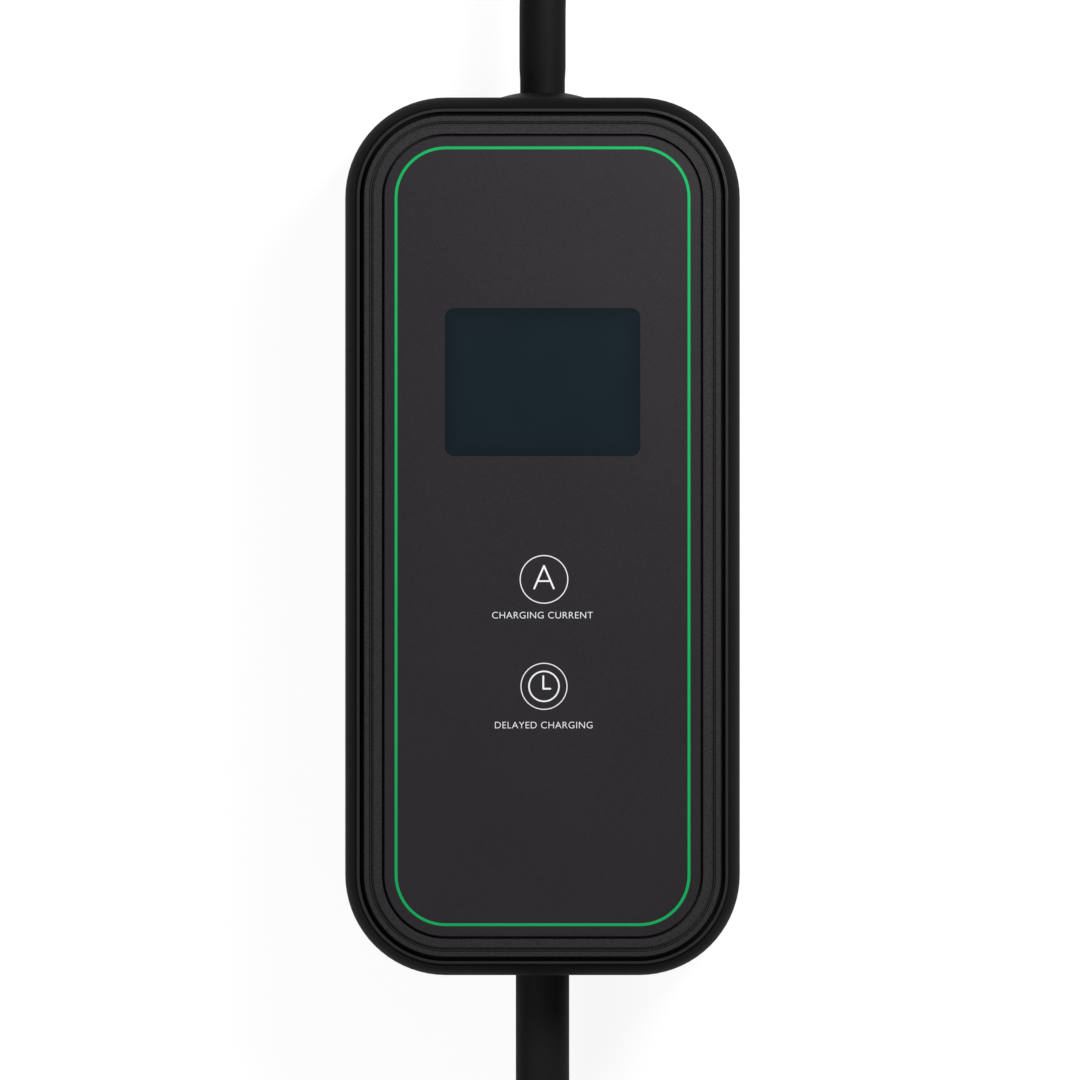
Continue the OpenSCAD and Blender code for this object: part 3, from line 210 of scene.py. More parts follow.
def front_abs():
    """ABS with a little polycarbonate, injection moulded: the frame round the panel comes from a
    spark-eroded tool and scatters the light as a soft grey grain, the rim comes from a stoned tool and is
    satin, its flank painted near-black as shade and its crest lighter, partly the plastic's own grey and
    partly a painted highlight, and the sides below it have a shallower grain."""
    material, tree, shader, at = begin("front_shell_spark_textured_abs", IOR=1.54, Specular_IOR_Level=0.1)
    # distance out from the rounded rectangle through the corner axes
    size = add(tree, "ShaderNodeVectorMath", {"operation": "ABSOLUTE"}, {0: at})
    past = add(tree, "ShaderNodeVectorMath", {"operation": "SUBTRACT"},
               {0: size.outputs[0], 1: (CORNER_AXIS[0] * MM, CORNER_AXIS[1] * MM, 0)})
    out = add(tree, "ShaderNodeVectorMath", {"operation": "MAXIMUM"}, {0: past.outputs[0], 1: (0, 0, 0)})
    flat = add(tree, "ShaderNodeVectorMath", {"operation": "MULTIPLY"}, {0: out.outputs[0], 1: (1, 1, 0)})
    reach = add(tree, "ShaderNodeVectorMath", {"operation": "LENGTH"}, {0: flat.outputs[0]}).outputs["Value"]
    rim = add(tree, "ShaderNodeMath", {"operation": "GREATER_THAN"},
              {0: reach, 1: FRAME_EDGE * MM}).outputs[0]
    grain = add(tree, "ShaderNodeTexNoise", {},
                {"Vector": at, "Scale": per_mm(TOOL_GRAIN), "Detail": 3.0, "Roughness": 0.6}).outputs["Fac"]
    wide = add(tree, "ShaderNodeTexNoise", {}, {"Vector": at, "Scale": per_mm(9), "Detail": 2.0})
    speck = add(tree, "ShaderNodeMix", {"data_type": "RGBA"},
                {0: grain, COLOUR_A: linear("#131213"), COLOUR_B: linear("#3d3b3c")})
    # the two flanks of the fine line lie deeper and are painted dark as their shade
    off = add(tree, "ShaderNodeMath", {"operation": "SUBTRACT"}, {0: reach, 1: FRAME_LINE * MM})
    off = add(tree, "ShaderNodeMath", {"operation": "ABSOLUTE"}, {0: off.outputs[0]})
    line_shade = add(tree, "ShaderNodeMath", {"operation": "COMPARE"},
                {0: off.outputs[0], 1: LINE_FLANK[0] * MM, 2: LINE_FLANK[1] * MM})
    frame_tone = add(tree, "ShaderNodeMix", {"data_type": "RGBA"},
                     {0: line_shade.outputs[0], COLOUR_A: speck.outputs[MIXED], COLOUR_B: linear("#0b0b0b")})
    # the crest of the rim is polished by hands and packing; its lighter grey is partly the plastic's own and
    # partly a painted highlight
    height = add(tree, "ShaderNodeSeparateXYZ", {}, {0: at}).outputs["Z"]
    high = add(tree, "ShaderNodeMath", {"operation": "GREATER_THAN"}, {0: height, 1: CREST[2] * MM})
    ridge = add(tree, "ShaderNodeMath", {"operation": "COMPARE"},
                {0: reach, 1: CREST[0] * MM, 2: CREST[1] * MM})
    crest = add(tree, "ShaderNodeMath", {"operation": "MULTIPLY"},
                {0: high.outputs[0], 1: ridge.outputs[0]}).outputs[0]
    # painted shade: the rim's flank is near-black, darker than the sides below it
    flank_shade = add(tree, "ShaderNodeMix", {"data_type": "RGBA"},
                {0: wide.outputs["Fac"], COLOUR_A: linear("#030304"), COLOUR_B: linear("#070708")})
    # the sides, lower down, in the plastic's own grey; up towards the rim they go over to the painted shade
    # of the flank
    side = add(tree, "ShaderNodeMapRange", {},
               {"Value": height, "From Min": SMOOTH_RIM[1] * MM,
                "From Max": SMOOTH_RIM[0] * MM}).outputs["Result"]
    grained = add(tree, "ShaderNodeMix", {"data_type": "RGBA"},
                  {0: grain, COLOUR_A: linear("#161617"), COLOUR_B: linear("#444345")})
    sides = add(tree, "ShaderNodeMix", {"data_type": "RGBA"},
                {0: side, COLOUR_A: flank_shade.outputs[MIXED], COLOUR_B: grained.outputs[MIXED]})
    rim_tone = add(tree, "ShaderNodeMix", {"data_type": "RGBA"},
                   {0: crest, COLOUR_A: sides.outputs[MIXED], COLOUR_B: linear("#2b2a2c")})
    colour = add(tree, "ShaderNodeMix", {"data_type": "RGBA"},
                 {0: rim, COLOUR_A: frame_tone.outputs[MIXED], COLOUR_B: rim_tone.outputs[MIXED]})
    tree.links.new(colour.outputs[MIXED], shader.inputs["Base Color"])
    polish = add(tree, "ShaderNodeMapRange", {}, {"Value": crest, "To Min": 0.72, "To Max": 0.36})
    rough = add(tree, "ShaderNodeMix", {"data_type": "FLOAT"},
                {0: rim, FLOAT_A: 0.66, FLOAT_B: polish.outputs["Result"]})
    tree.links.new(rough.outputs[0], shader.inputs["Roughness"])
    worn = add(tree, "ShaderNodeMapRange", {}, {"Value": side, "To Min": 0.12, "To Max": 0.6})
    depth = add(tree, "ShaderNodeMix", {"data_type": "FLOAT"},
                {0: rim, FLOAT_A: 1.0, FLOAT_B: worn.outputs["Result"]})
    relief(tree, shader, grain, 0.11, depth.outputs[0])
    return material


def with_parting_line(material):
    """Adds the joint between the two shells: both edges are broken there, so that close to its height the
    surface falls away into a narrow groove, drawn by a bump and painted near-black as its shade."""
    tree = material.node_tree
    shader = tree.nodes["Principled BSDF"]
    at = add(tree, "ShaderNodeTexCoord").outputs["Object"]
    height = add(tree, "ShaderNodeSeparateXYZ", {}, {0: at}).outputs["Z"]
    above = add(tree, "ShaderNodeMath", {"operation": "SUBTRACT"}, {0: height, 1: LEAD_Z * MM})
    off = add(tree, "ShaderNodeMath", {"operation": "ABSOLUTE"}, {0: above.outputs[0]})
    face = add(tree, "ShaderNodeMapRange", {},
               {"Value": off.outputs[0], "From Min": GROOVE_FLOOR * MM,
                "From Max": GROOVE_MOUTH * MM}).outputs["Result"]
    shown = shader.inputs["Base Color"].links[0].from_socket
    # painted shade in the groove of the joint
    colour = add(tree, "ShaderNodeMix", {"data_type": "RGBA"},
                 {0: face, COLOUR_A: linear("#010101"), COLOUR_B: shown})
    tree.links.new(colour.outputs[MIXED], shader.inputs["Base Color"])
    grained = shader.inputs["Normal"].links[0].from_socket
    groove = add(tree, "ShaderNodeBump", {},
                 {"Height": face, "Distance": GROOVE_DEPTH * MM, "Normal": grained})
    tree.links.new(groove.outputs["Normal"], shader.inputs["Normal"])
    return material


def panel_film():
    """Polycarbonate sheet, back-printed dark grey, with a fine matt coat: a soft even sheen with a very
    small grain."""
    material, tree, shader, at = begin("front_panel_matt_polycarbonate", IOR=1.58, Specular_IOR_Level=0.3)
    grain = add(tree, "ShaderNodeTexNoise", {},
                {"Vector": at, "Scale": per_mm(0.5), "Detail": 2.0}).outputs["Fac"]
    wide = add(tree, "ShaderNodeTexNoise", {}, {"Vector": at, "Scale": per_mm(30), "Detail": 1.0})
    both = add(tree, "ShaderNodeMath", {"operation": "ADD"}, {0: grain, 1: wide.outputs["Fac"]})
    colour = add(tree, "ShaderNodeMapRange", {"data_type": "FLOAT_VECTOR"},
                 {"Vector": both.outputs[0], FROM_LOW: (SUM_LOW,) * 3, FROM_HIGH: (SUM_HIGH,) * 3,
                  TO_LOW: linear("#141016")[:3], TO_HIGH: linear("#1b171c")[:3]})
    tree.links.new(colour.outputs["Vector"], shader.inputs["Base Color"])
    rough = add(tree, "ShaderNodeMapRange", {}, {"Value": grain, "To Min": 0.38, "To Max": 0.50})
    tree.links.new(rough.outputs["Result"], shader.inputs["Roughness"])
    relief(tree, shader, grain, 0.008)
    return material


def tinted_acrylic():
    """Cast acrylic, tinted and polished: a deep blue-black gloss, with painted shade that darkens it towards
    its edges."""
    material, tree, shader, at = begin("display_window_tinted_acrylic", IOR=1.49, Specular_IOR_Level=0.3)
    x, y, w, l = WINDOW
    near = add(tree, "ShaderNodeVectorMath", {"operation": "SUBTRACT"}, {0: at, 1: (x * MM, y * MM, 0)})
    size = add(tree, "ShaderNodeVectorMath", {"operation": "ABSOLUTE"}, {0: near.outputs[0]})
    edge = add(tree, "ShaderNodeVectorMath", {"operation": "SUBTRACT"},
               {0: (w / 2 * MM, l / 2 * MM, 0), 1: size.outputs[0]})
    parts = add(tree, "ShaderNodeSeparateXYZ", {}, {0: edge.outputs[0]})
    least = add(tree, "ShaderNodeMath", {"operation": "MINIMUM"}, {0: parts.outputs[0], 1: parts.outputs[1]})
    inner = add(tree, "ShaderNodeMapRange", {"interpolation_type": "SMOOTHSTEP"},
                {"Value": least.outputs[0], "From Min": 0.0, "From Max": WINDOW_SHADE * MM})
    haze = add(tree, "ShaderNodeTexNoise", {},
               {"Vector": at, "Scale": per_mm(22), "Detail": 1.0}).outputs["Fac"]
    tint = add(tree, "ShaderNodeMix", {"data_type": "RGBA"},
               {0: haze, COLOUR_A: linear("#111d23"), COLOUR_B: linear("#152228")})
    # painted shade: darker towards the window's edges, over WINDOW_SHADE
    colour = add(tree, "ShaderNodeMix", {"data_type": "RGBA"},
                 {0: inner.outputs["Result"], COLOUR_A: linear("#101b22"), COLOUR_B: tint.outputs[MIXED]})
    tree.links.new(colour.outputs[MIXED], shader.inputs["Base Color"])
    rough = add(tree, "ShaderNodeMapRange", {}, {"Value": haze, "To Min": 0.16, "To Max": 0.24})
    tree.links.new(rough.outputs["Result"], shader.inputs["Roughness"])
    return material


def screen_ink(name, colour):
    """Screen-printed ink: an opaque satin film whose colour varies a little with the weave of the screen."""
    material, tree, shader, at = begin(name, Roughness=0.5, IOR=1.5, Specular_IOR_Level=0.15)
    mesh = add(tree, "ShaderNodeTexNoise", {},
               {"Vector": at, "Scale": per_mm(0.4), "Detail": 1.0}).outputs["Fac"]
    base = np.array(linear(colour))[:3]
    tint = add(tree, "ShaderNodeMapRange", {"data_type": "FLOAT_VECTOR"},
               {"Vector": mesh, TO_LOW: base * 0.94, TO_HIGH: np.minimum(base * 1.05, 1)})
    tree.links.new(tint.outputs["Vector"], shader.inputs["Base Color"])
    relief(tree, shader, mesh, 0.004)
    return material


def cable_jacket(name, dark, light):
    """An extruded cable jacket: a dull black skin with faint lines along the lead and a little dust in the
    matt."""
    material, tree, shader, at = begin(name, IOR=1.5, Specular_IOR_Level=0.13)
    skin_at = add(tree, "ShaderNodeAttribute", {"attribute_name": "jacket"}).outputs["Vector"]
    lines = add(tree, "ShaderNodeVectorMath", {"operation": "MULTIPLY"},
                {0: skin_at, 1: (JACKET_LINES, JACKET_LINES, 1 / JACKET_LINE_L)})
    drawn = add(tree, "ShaderNodeTexNoise", {}, {"Vector": lines.outputs[0], "Scale": 1.0, "Detail": 2.0})
    matt = add(tree, "ShaderNodeTexNoise", {}, {"Vector": at, "Scale": per_mm(1.4), "Detail": 4.0})
    both = add(tree, "ShaderNodeMath", {"operation": "ADD"},
               {0: drawn.outputs["Fac"], 1: matt.outputs["Fac"]}).outputs[0]
    colour = add(tree, "ShaderNodeMapRange", {"data_type": "FLOAT_VECTOR"},
                 {"Vector": both, FROM_LOW: (SUM_LOW,) * 3, FROM_HIGH: (SUM_HIGH,) * 3,
                  TO_LOW: linear(dark)[:3], TO_HIGH: linear(light)[:3]})
    tree.links.new(colour.outputs["Vector"], shader.inputs["Base Color"])
    rough = add(tree, "ShaderNodeMapRange", {}, {"Value": both, "From Min": SUM_LOW, "From Max": SUM_HIGH,
                                                 "To Min": 0.62, "To Max": 0.78})
    tree.links.new(rough.outputs["Result"], shader.inputs["Roughness"])
    relief(tree, shader, both, 0.04, 0.6)
    return material


def strap_weave():
    """Hook-and-loop strap, woven nylon: short loops in close rows, dull, with a slight sheen at a flat
    angle."""
    material, tree, shader, _ = begin("woven_nylon_strap", Roughness=0.85, Sheen_Weight=0.25,
                                      Sheen_Roughness=0.5)
    band = add(tree, "ShaderNodeAttribute", {"attribute_name": "band"}).outputs["Vector"]
    rows = add(tree, "ShaderNodeTexWave", {"wave_type": "BANDS", "bands_direction": "X"},
               {"Vector": band, "Scale": 2 * math.pi / WAVE_ANGLE / WEAVE_ROW, "Distortion": 0.6,
                "Detail": 1.0})
    loops = add(tree, "ShaderNodeTexVoronoi", {}, {"Vector": band, "Scale": 1 / WEAVE_LOOP})
    both = add(tree, "ShaderNodeMath", {"operation": "MULTIPLY_ADD"},
               {0: loops.outputs["Distance"], 1: 0.6, 2: rows.outputs["Fac"]}).outputs[0]
    colour = add(tree, "ShaderNodeMapRange", {"data_type": "FLOAT_VECTOR"},
                 {"Vector": both, FROM_LOW: (0.0,) * 3, FROM_HIGH: (SUM_HIGH,) * 3,
                  TO_LOW: linear("#131416")[:3], TO_HIGH: linear("#2a2b2e")[:3]})
    tree.links.new(colour.outputs["Vector"], shader.inputs["Base Color"])
    relief(tree, shader, both, 0.25, 0.7)
    return material


def plated(name, colour, roughness, lines):
    """Turned metal, plated or bare: bright, with fine tool marks, lines mm apart, that spread the
    reflections."""
    material, tree, shader, at = begin(name, Metallic=1.0)
    turned = add(tree, "ShaderNodeTexNoise", {},
                 {"Vector": at, "Scale": per_mm(lines), "Detail": 3.0}).outputs["Fac"]
    base = np.array(linear(colour))[:3]
    tint = add(tree, "ShaderNodeMapRange", {"data_type": "FLOAT_VECTOR"},
               {"Vector": turned, TO_LOW: base * 0.9, TO_HIGH: np.minimum(base * 1.06, 1)})
    tree.links.new(tint.outputs["Vector"], shader.inputs["Base Color"])
    rough = add(tree, "ShaderNodeMapRange", {},
                {"Value": turned, "To Min": roughness - 0.06, "To Max": roughness + 0.08})
    tree.links.new(rough.outputs["Result"], shader.inputs["Roughness"])
    relief(tree, shader, turned, 0.006)
    return material


def circuit_laminate():
    """Glass-fibre laminate under green solder mask: a satin skin, with the weave and the copper runs showing
    faintly."""
    material, tree, shader, at = begin("solder_masked_laminate", Roughness=0.38, IOR=1.5)
    runs = add(tree, "ShaderNodeTexBrick", {}, {"Vector": at, "Scale": per_mm(20), "Mortar Size": 0.02,
                                                "Color1": linear("#1d5638"), "Color2": linear("#226344"),
                                                "Mortar": linear("#2c7a54")})
    tree.links.new(runs.outputs["Color"], shader.inputs["Base Color"])
    weave = add(tree, "ShaderNodeTexNoise", {}, {"Vector": at, "Scale": per_mm(0.8)})
    relief(tree, shader, weave.outputs["Fac"], 0.01)
    return material


mains_jacket = cable_jacket("extruded_rubber_jacket", "#070708", "#0f0f10")
vehicle_jacket = cable_jacket("extruded_polyurethane_jacket", "#141415", "#1e1e1f")
strap = strap_weave()
white_ink = screen_ink("white_screen_ink", "#f1f1f2")
# glass-filled nylon from a spark-textured tool: black with a fine grain and a weak sheen
handle_plastic = moulded("glass_filled_nylon_spark_textured", "#131315", 0.55, 0.5, 0.03, IOR=1.53)
front = with_parting_line(front_abs())
# ABS from a spark-textured tool, as the sides of the front shell: dull black with an even grain
rear = with_parting_line(moulded("rear_shell_spark_textured_abs", "#2c2c2d", 0.7, TOOL_GRAIN, 0.07, 0.3,
                                 IOR=1.54, Specular_IOR_Level=0.1))
FINISHES = {
    "housing_plastic": rear,
    "panel_film": panel_film(),
    "border_ink": screen_ink("green_screen_ink", "#05a95a"),
    "window_acrylic": tinted_acrylic(),
    # foamed sheet with open pores: pale and quite dull
    "adhesive_sheet": moulded("acrylic_foam_sheet", "#8d8f92", 0.9, 0.3, 0.05),
    # extruded silicone: smooth and dull
    "seal_rubber": moulded("silicone_cord", "#5a5d60", 0.7, 0.4, 0.01),
    # rolled steel under zinc: bright, with a grey bloom
    "zinc_steel": plated("zinc_plated_steel", "#b9bcc0", 0.34, 0.3),
    "circuit_board": circuit_laminate(),
    # moulded nylon without filler: warm white with a soft sheen
    "cream_nylon": moulded("cream_nylon", "#e6e3da", 0.5, 0.4, 0.01, 0.04),
    # drawn vinyl: grey, with low ridges over the wires
    "flat_cable_skin": moulded("flat_cable_vinyl", "#9aa3ad", 0.5, 1.0, 0.03),
    # epoxy pressed into a polished tool: dark with a satin skin
    "black_component": moulded("black_epoxy_case", "#20242c", 0.45, 0.4, 0.01),
    # dipped and baked lacquer: glossy, a little wavy
    "blue_component": moulded("blue_dipped_lacquer", "#2b4f80", 0.25, 2.0, 0.03),
    # moulded polyester: even and satin
    "yellow_component": moulded("yellow_polyester_case", "#c9b26a", 0.4, 0.6, 0.01, 0.05),
    # fired glaze: white and glossy
    "fuse_ceramic": moulded("glazed_ceramic_tube", "#d9dadb", 0.2, 1.5, 0.01, 0.04),
    # moulded polyamide: soft sheen
    "green_terminal": moulded("green_polyamide", "#4d7a52", 0.5, 0.4, 0.01),
    # extruded vinyl on the wires: smooth, with a weak gloss
    "brown_wire": moulded("brown_vinyl_insulation", "#7a4a2b", 0.4, 0.8, 0.01),
    "blue_wire": moulded("blue_vinyl_insulation", "#2f63b5", 0.4, 0.8, 0.01),
    "earth_wire": moulded("green_vinyl_insulation", "#8fae3c", 0.4, 0.8, 0.01),
    "white_wire": moulded("white_vinyl_insulation", "#d8d4cc", 0.4, 0.8, 0.01, 0.04),
    # pressed rubber: dull black, hardly any grain
    "black_rubber": moulded("moulded_black_rubber", "#0e0e0f", 0.6, 0.6, 0.02,
                            IOR=1.5, Specular_IOR_Level=0.16),
    "lead_jacket": mains_jacket,
    # moulded nylon with filler: grey and dull
    "clamp_nylon": moulded("grey_nylon", "#3b3d40", 0.55, 0.4, 0.01),
    "strap_fabric": strap,
    # turned brass under nickel: bright and cool
    "plated_brass": plated("nickel_plated_brass", "#c4c6c8", 0.22, 0.25),
    "connector_plastic": handle_plastic,
    # turned brass, bare: bright and yellow
    "contact_brass": plated("turned_brass", "#c9a24a", 0.28, 0.25),
}
for subpart in frame["record"]["subparts"]:
    finish = front if subpart["node"] == "front_shell" else FINISHES[subpart["material_slot"]]
    node = frame["nodes"][subpart["node"]]
    node.data.materials.clear()
    node.data.materials.append(finish)


# Leads

MAINS_ROUTE = [
    (0, JACKET_END, LEAD_Z), (0, 100, LEAD_Z), (0, 120, LEAD_Z), (0, 132, LEAD_Z), (0, 144, 25.5),
    (-1.5, 156, 22), (-4.5, 168, 17.5), (-9, 180, 12), (-12.5, 192, 8), (-14.5, 202, 6.2), (-14.8, 210, 5.9),
]
VEHICLE_ROUTE = [
    (0, -JACKET_END, LEAD_Z), (0, -100, LEAD_Z), (0, -120, LEAD_Z), (0, -134, LEAD_Z), (0, -146, 25.5),
    (-0.5, -158, 22), (-2.5, -170, 17.5), (-5.5, -182, 12.5), (-10, -194, 8.5), (-14, -206, 6.8),
    (-18, -220, 6.8), (-20, -236, 6.8), (-20.4, -252, 6.8),
]
# A hank: middle of its near bend, the way its runs go along y, length of the runs, places of its straps
# along them, diameter of the lead, bend radius of an inner turn, for each turn whether it is an inner or an
# outer one (0 or 1) and its layer, how far the near bend of each turn stands out, and the height of the
# lead's end
MAINS_HANK = dict(
    at=(34, 210), side=1, run=90, ties=[45], d=MAINS_D, bend=37.0,
    turns=[(1, 0), (0, 0)], bulges=[5, 0], end_z=31.3)
VEHICLE_HANK = dict(
    at=(34, -252), side=-1, run=148, ties=[37, 111], d=VEHICLE_D, bend=40.8,
    turns=[(1, 0), (0, 0), (0, 1), (1, 1), (1, 2), (0, 2)], bulges=[5, 0, 5, 10, 5, 0], end_z=57.8)
RUN_POINTS, BEND_POINTS = 25, 49
STRAP_RISE = 20.0               # half length of the stretch over which a run rises onto a strap
SAME_POINT = 0.2                # points closer together than this count as one
RING_STEP, RING_POINTS = 3.0, 28
RUN_ON = 4.0                    # how far a jacket goes on into the piece on its end
GRIP_W = 2.2                    # half width of the collar's grip


def turn(slot, following, run, bulge):
    """One turn of a hank, its near end at y = 0: out along -x at radius r and height z, a half circle at
    y = run, back along +x, then a near half circle whose radius and height go over to the following slot by
    half a cosine and whose middle stands out by bulge, so that turns that change places pass each other."""
    (r, z), (r2, z2) = slot, following
    a = np.linspace(0, np.pi, BEND_POINTS)
    s = (1 - np.cos(a)) / 2
    along = np.linspace(0, run, RUN_POINTS)
    near = r + (r2 - r) * s + bulge * np.sin(a) ** 2
    return np.vstack([
        np.stack([np.full(RUN_POINTS, -r), along, np.full(RUN_POINTS, z)], 1),
        np.stack([-r * np.cos(a), run + r * np.sin(a), np.full(BEND_POINTS, z)], 1),
        np.stack([np.full(RUN_POINTS, r), along[::-1], np.full(RUN_POINTS, z)], 1),
        np.stack([near * np.cos(a), -near * np.sin(a), z + (z2 - z) * s], 1),
    ])


def wound(hank):
    """The turns of a hank one after the other: an outer turn lies one diameter further out than an inner
    one, and each layer one diameter higher. The last turn keeps its radius and climbs to the end of the
    lead. Over a strap the runs rise by its thickness, as a bell curve."""
    d = hank["d"]
    slots = [(hank["bend"] + d * outer, d * (layer + 0.5)) for outer, layer in hank["turns"]]
    ends = slots[1:] + [(slots[-1][0], hank["end_z"])]
    p = np.vstack([turn(a, b, hank["run"], bulge) for a, b, bulge in zip(slots, ends, hank["bulges"])])
    lift = sum(np.exp(-((p[:, 1] - y) / STRAP_RISE) ** 2) for y in hank["ties"])
    p[:, 2] += TIE_T * lift * (p[:, 0] > 0)
    p[:, 1] *= hank["side"]
    return p + (*hank["at"], 0)


def lead(name, route, hank, jacket, pinch=0.0):
    """A round jacket carried along the route and the turns of the hank: each ring of radius d / 2 stands
    square to the line, its first direction level. pinch narrows it where the collar grips it, as a bell
    curve."""
    line = np.vstack([smooth_through(route)[:-1], wound(hank)])
    apart = np.linalg.norm(np.diff(line, axis=0), axis=1) > SAME_POINT
    line = resample(line[np.concatenate([[True], apart])], RING_STEP)
    line = np.vstack([line, line[-1] + (0, hank["side"] * RUN_ON, 0)])
    ahead = np.gradient(line, axis=0)
    ahead /= np.linalg.norm(ahead, axis=1)[:, None]
    level = np.cross(ahead, (0, 0, 1.0))
    level /= np.linalg.norm(level, axis=1)[:, None]
    up = np.cross(level, ahead)
    a = np.linspace(0, 2 * np.pi, RING_POINTS, endpoint=False)
    cos, sin = np.cos(a)[None, :, None], np.sin(a)[None, :, None]
    grip = np.exp(-((line[:, 1] - hank["side"] * COLLAR_Y) / GRIP_W) ** 2)
    r = hank["d"] / 2 * (1 - pinch * grip)
    grid = line[:, None] + r[:, None, None] * (cos * level[:, None] + sin * up[:, None])
    # the jacket's own coordinates: cosine and sine of the way round, and mm along the lead
    along = (np.arange(len(line)) * RING_STEP)[:, None, None]
    one = np.ones((len(line), RING_POINTS, 1))
    return skin(name, grid, jacket, jacket=np.concatenate([one * cos, one * sin, one * along], 2)), line


mains_lead, mains_line = lead("mains_cable", MAINS_ROUTE, MAINS_HANK, mains_jacket, pinch=0.05)
vehicle_lead, vehicle_line = lead("vehicle_cable", VEHICLE_ROUTE, VEHICLE_HANK, vehicle_jacket)
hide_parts("mains_lead", "mains_hank", "mains_tail")
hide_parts("vehicle_lead", "vehicle_hank", "vehicle_tail")


# Straps

STRAP_STEP = 1.0                # distance of the sections along a strap
STRAP_POINTS, CORNER_POINTS = 24, 16
STRAP_CORNER = 5.5
LAP_SHARE = 0.42                # share of the way round that the end laps over the start
LAP_CLIMB, LAP_GAP = 14.0, 0.1  # sections in which it climbs onto the start, and the gap left below it
TIP_SECTIONS, TIP_WIDTH = 5.0, 0.65             # rounded end: its sections, and its least share of the width
FLAT_POWER, EDGE_POWER = 0.25, 0.6              # exponents that make the section flat with round edges


def band_path(half_w, low, high, corner):
    """A rounded rectangle in x and z, walked from the middle of its left side round its top: quarter circles
    of radius corner joined by straight lines."""
    a = np.linspace(0, np.pi / 2, CORNER_POINTS)
    c, s = corner * np.cos(a), corner * np.sin(a)
    x, top, bottom = half_w - corner, high - corner, low + corner
    parts = [
        np.stack([-x - c, top + s], 1), np.stack([x + s, top + c], 1),
        np.stack([x + c, bottom - s], 1), np.stack([-x - s, bottom - c], 1),
    ]
    middle = [[-half_w, (low + high) / 2]]
    loop = np.vstack([middle, *parts, middle])
    return resample(np.stack([loop[:, 0], np.zeros(len(loop)), loop[:, 1]], 1), STRAP_STEP)


def strap_piece(name, hank, tie):
    """A flat band with round edges carried round the turns, whose end laps over its start along the top: the
    section is TIE_W by TIE_T with the cosine and sine of its angle raised to small powers, and the lap lies
    one thickness further out and narrows to its tip."""
    d = hank["d"]
    height = d * (1 + max(layer for _, layer in hank["turns"]))
    inner = band_path(d + TIE_T / 2, TIE_T / 2, height + 1.5 * TIE_T, STRAP_CORNER)
    n = len(inner)
    walk = np.vstack([inner, inner[1:int(LAP_SHARE * n)]])
    ahead = np.gradient(walk, axis=0)
    ahead /= np.linalg.norm(ahead, axis=1)[:, None]
    out = np.cross(ahead, (0, 1.0, 0))
    out *= np.sign(np.sum(out * (walk - (0, 0, height / 2)), axis=1).mean())
    section = np.arange(len(walk))
    climb = np.clip((section - n + LAP_CLIMB) / LAP_CLIMB, 0, 1)
    climb = climb * climb * (3 - 2 * climb) * (TIE_T + LAP_GAP)
    a = np.linspace(0, 2 * np.pi, STRAP_POINTS, endpoint=False)
    flat = np.sign(np.cos(a)) * np.abs(np.cos(a)) ** FLAT_POWER * TIE_W / 2
    thick = np.sign(np.sin(a)) * np.abs(np.sin(a)) ** EDGE_POWER * TIE_T / 2
    tip = np.clip((len(walk) - 1 - section) / TIP_SECTIONS, 0, 1)
    narrow = np.sqrt(1 - (1 - tip) ** 2) * (1 - TIP_WIDTH) + TIP_WIDTH
    grid = (walk + out * climb[:, None])[:, None] + out[:, None] * thick[None, :, None]
    grid[:, :, 1] += flat[None] * narrow[:, None]
    grid += (hank["at"][0] + hank["bend"] + d / 2, hank["at"][1] + hank["side"] * tie, 0)
    # the band's own coordinates in mm: across, along and through it
    one = np.ones((len(walk), STRAP_POINTS))
    band = np.stack([one * flat, one * section[:, None] * STRAP_STEP, one * thick], 2)
    piece = skin(name, grid, strap, band=band)
    return piece


mains_strap = strap_piece("mains_strap", MAINS_HANK, MAINS_HANK["ties"][0])
vehicle_straps = [strap_piece(f"vehicle_strap_{k + 1}", VEHICLE_HANK, y)
                  for k, y in enumerate(VEHICLE_HANK["ties"])]
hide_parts("mains_tie")
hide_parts("vehicle_tie")


# Handle of the vehicle connector

HANDLE_X, HANDLE_Y, HANDLE_L = -6.8, -298.0, 96.0
# Stations along the handle: share of its length, radius, height of the middle
STATIONS = np.array([
    (0, 13.5, 57.8), (0.03, 15, 57.8), (0.25, 17.5, 58.6), (0.5, 18.5, 59.6), (0.68, 21.5, 63.3),
    (0.84, 28.5, 69.8), (0.95, 31, 72.3), (1, 31, 72.3),
])
HANDLE_ROWS, HANDLE_POINTS = 161, 49
GRIP_MIDDLE, GRIP_HALF = 0.34, 0.24             # where it is held, as shares of its length
GRIP_PITCH, GRIP_DEPTH = 7.0, 0.9               # distance and depth of the grooves there
GRIP_TOP, GRIP_FADE = 0.75, 0.6                 # shares of the radius: how far up they reach, and fade
BROKEN_EDGE = (0.5, 0.7)                        # depth and width of the broken edge


def eased(at, x, y):
    """A curve through (x, y) without overshoot: cubic spans whose slopes are the harmonic mean of the two
    chords, and zero where these differ in sign."""
    chord = np.diff(y) / np.diff(x)
    before, after = chord[:-1], chord[1:]
    mean = np.where(before * after > 0, 2 * before * after / (before + after + 1e-12), 0)
    slope = np.concatenate([[chord[0]], mean, [chord[-1]]])
    k = np.clip(np.searchsorted(x, at, side="right") - 1, 0, len(x) - 2)
    h = x[k + 1] - x[k]
    t = (at - x[k]) / h
    return ((1 + 2 * t) * (1 - t) ** 2 * y[k] + t * (1 - t) ** 2 * h * slope[k]
            + t ** 2 * (3 - 2 * t) * y[k + 1] + t ** 2 * (t - 1) * h * slope[k + 1])


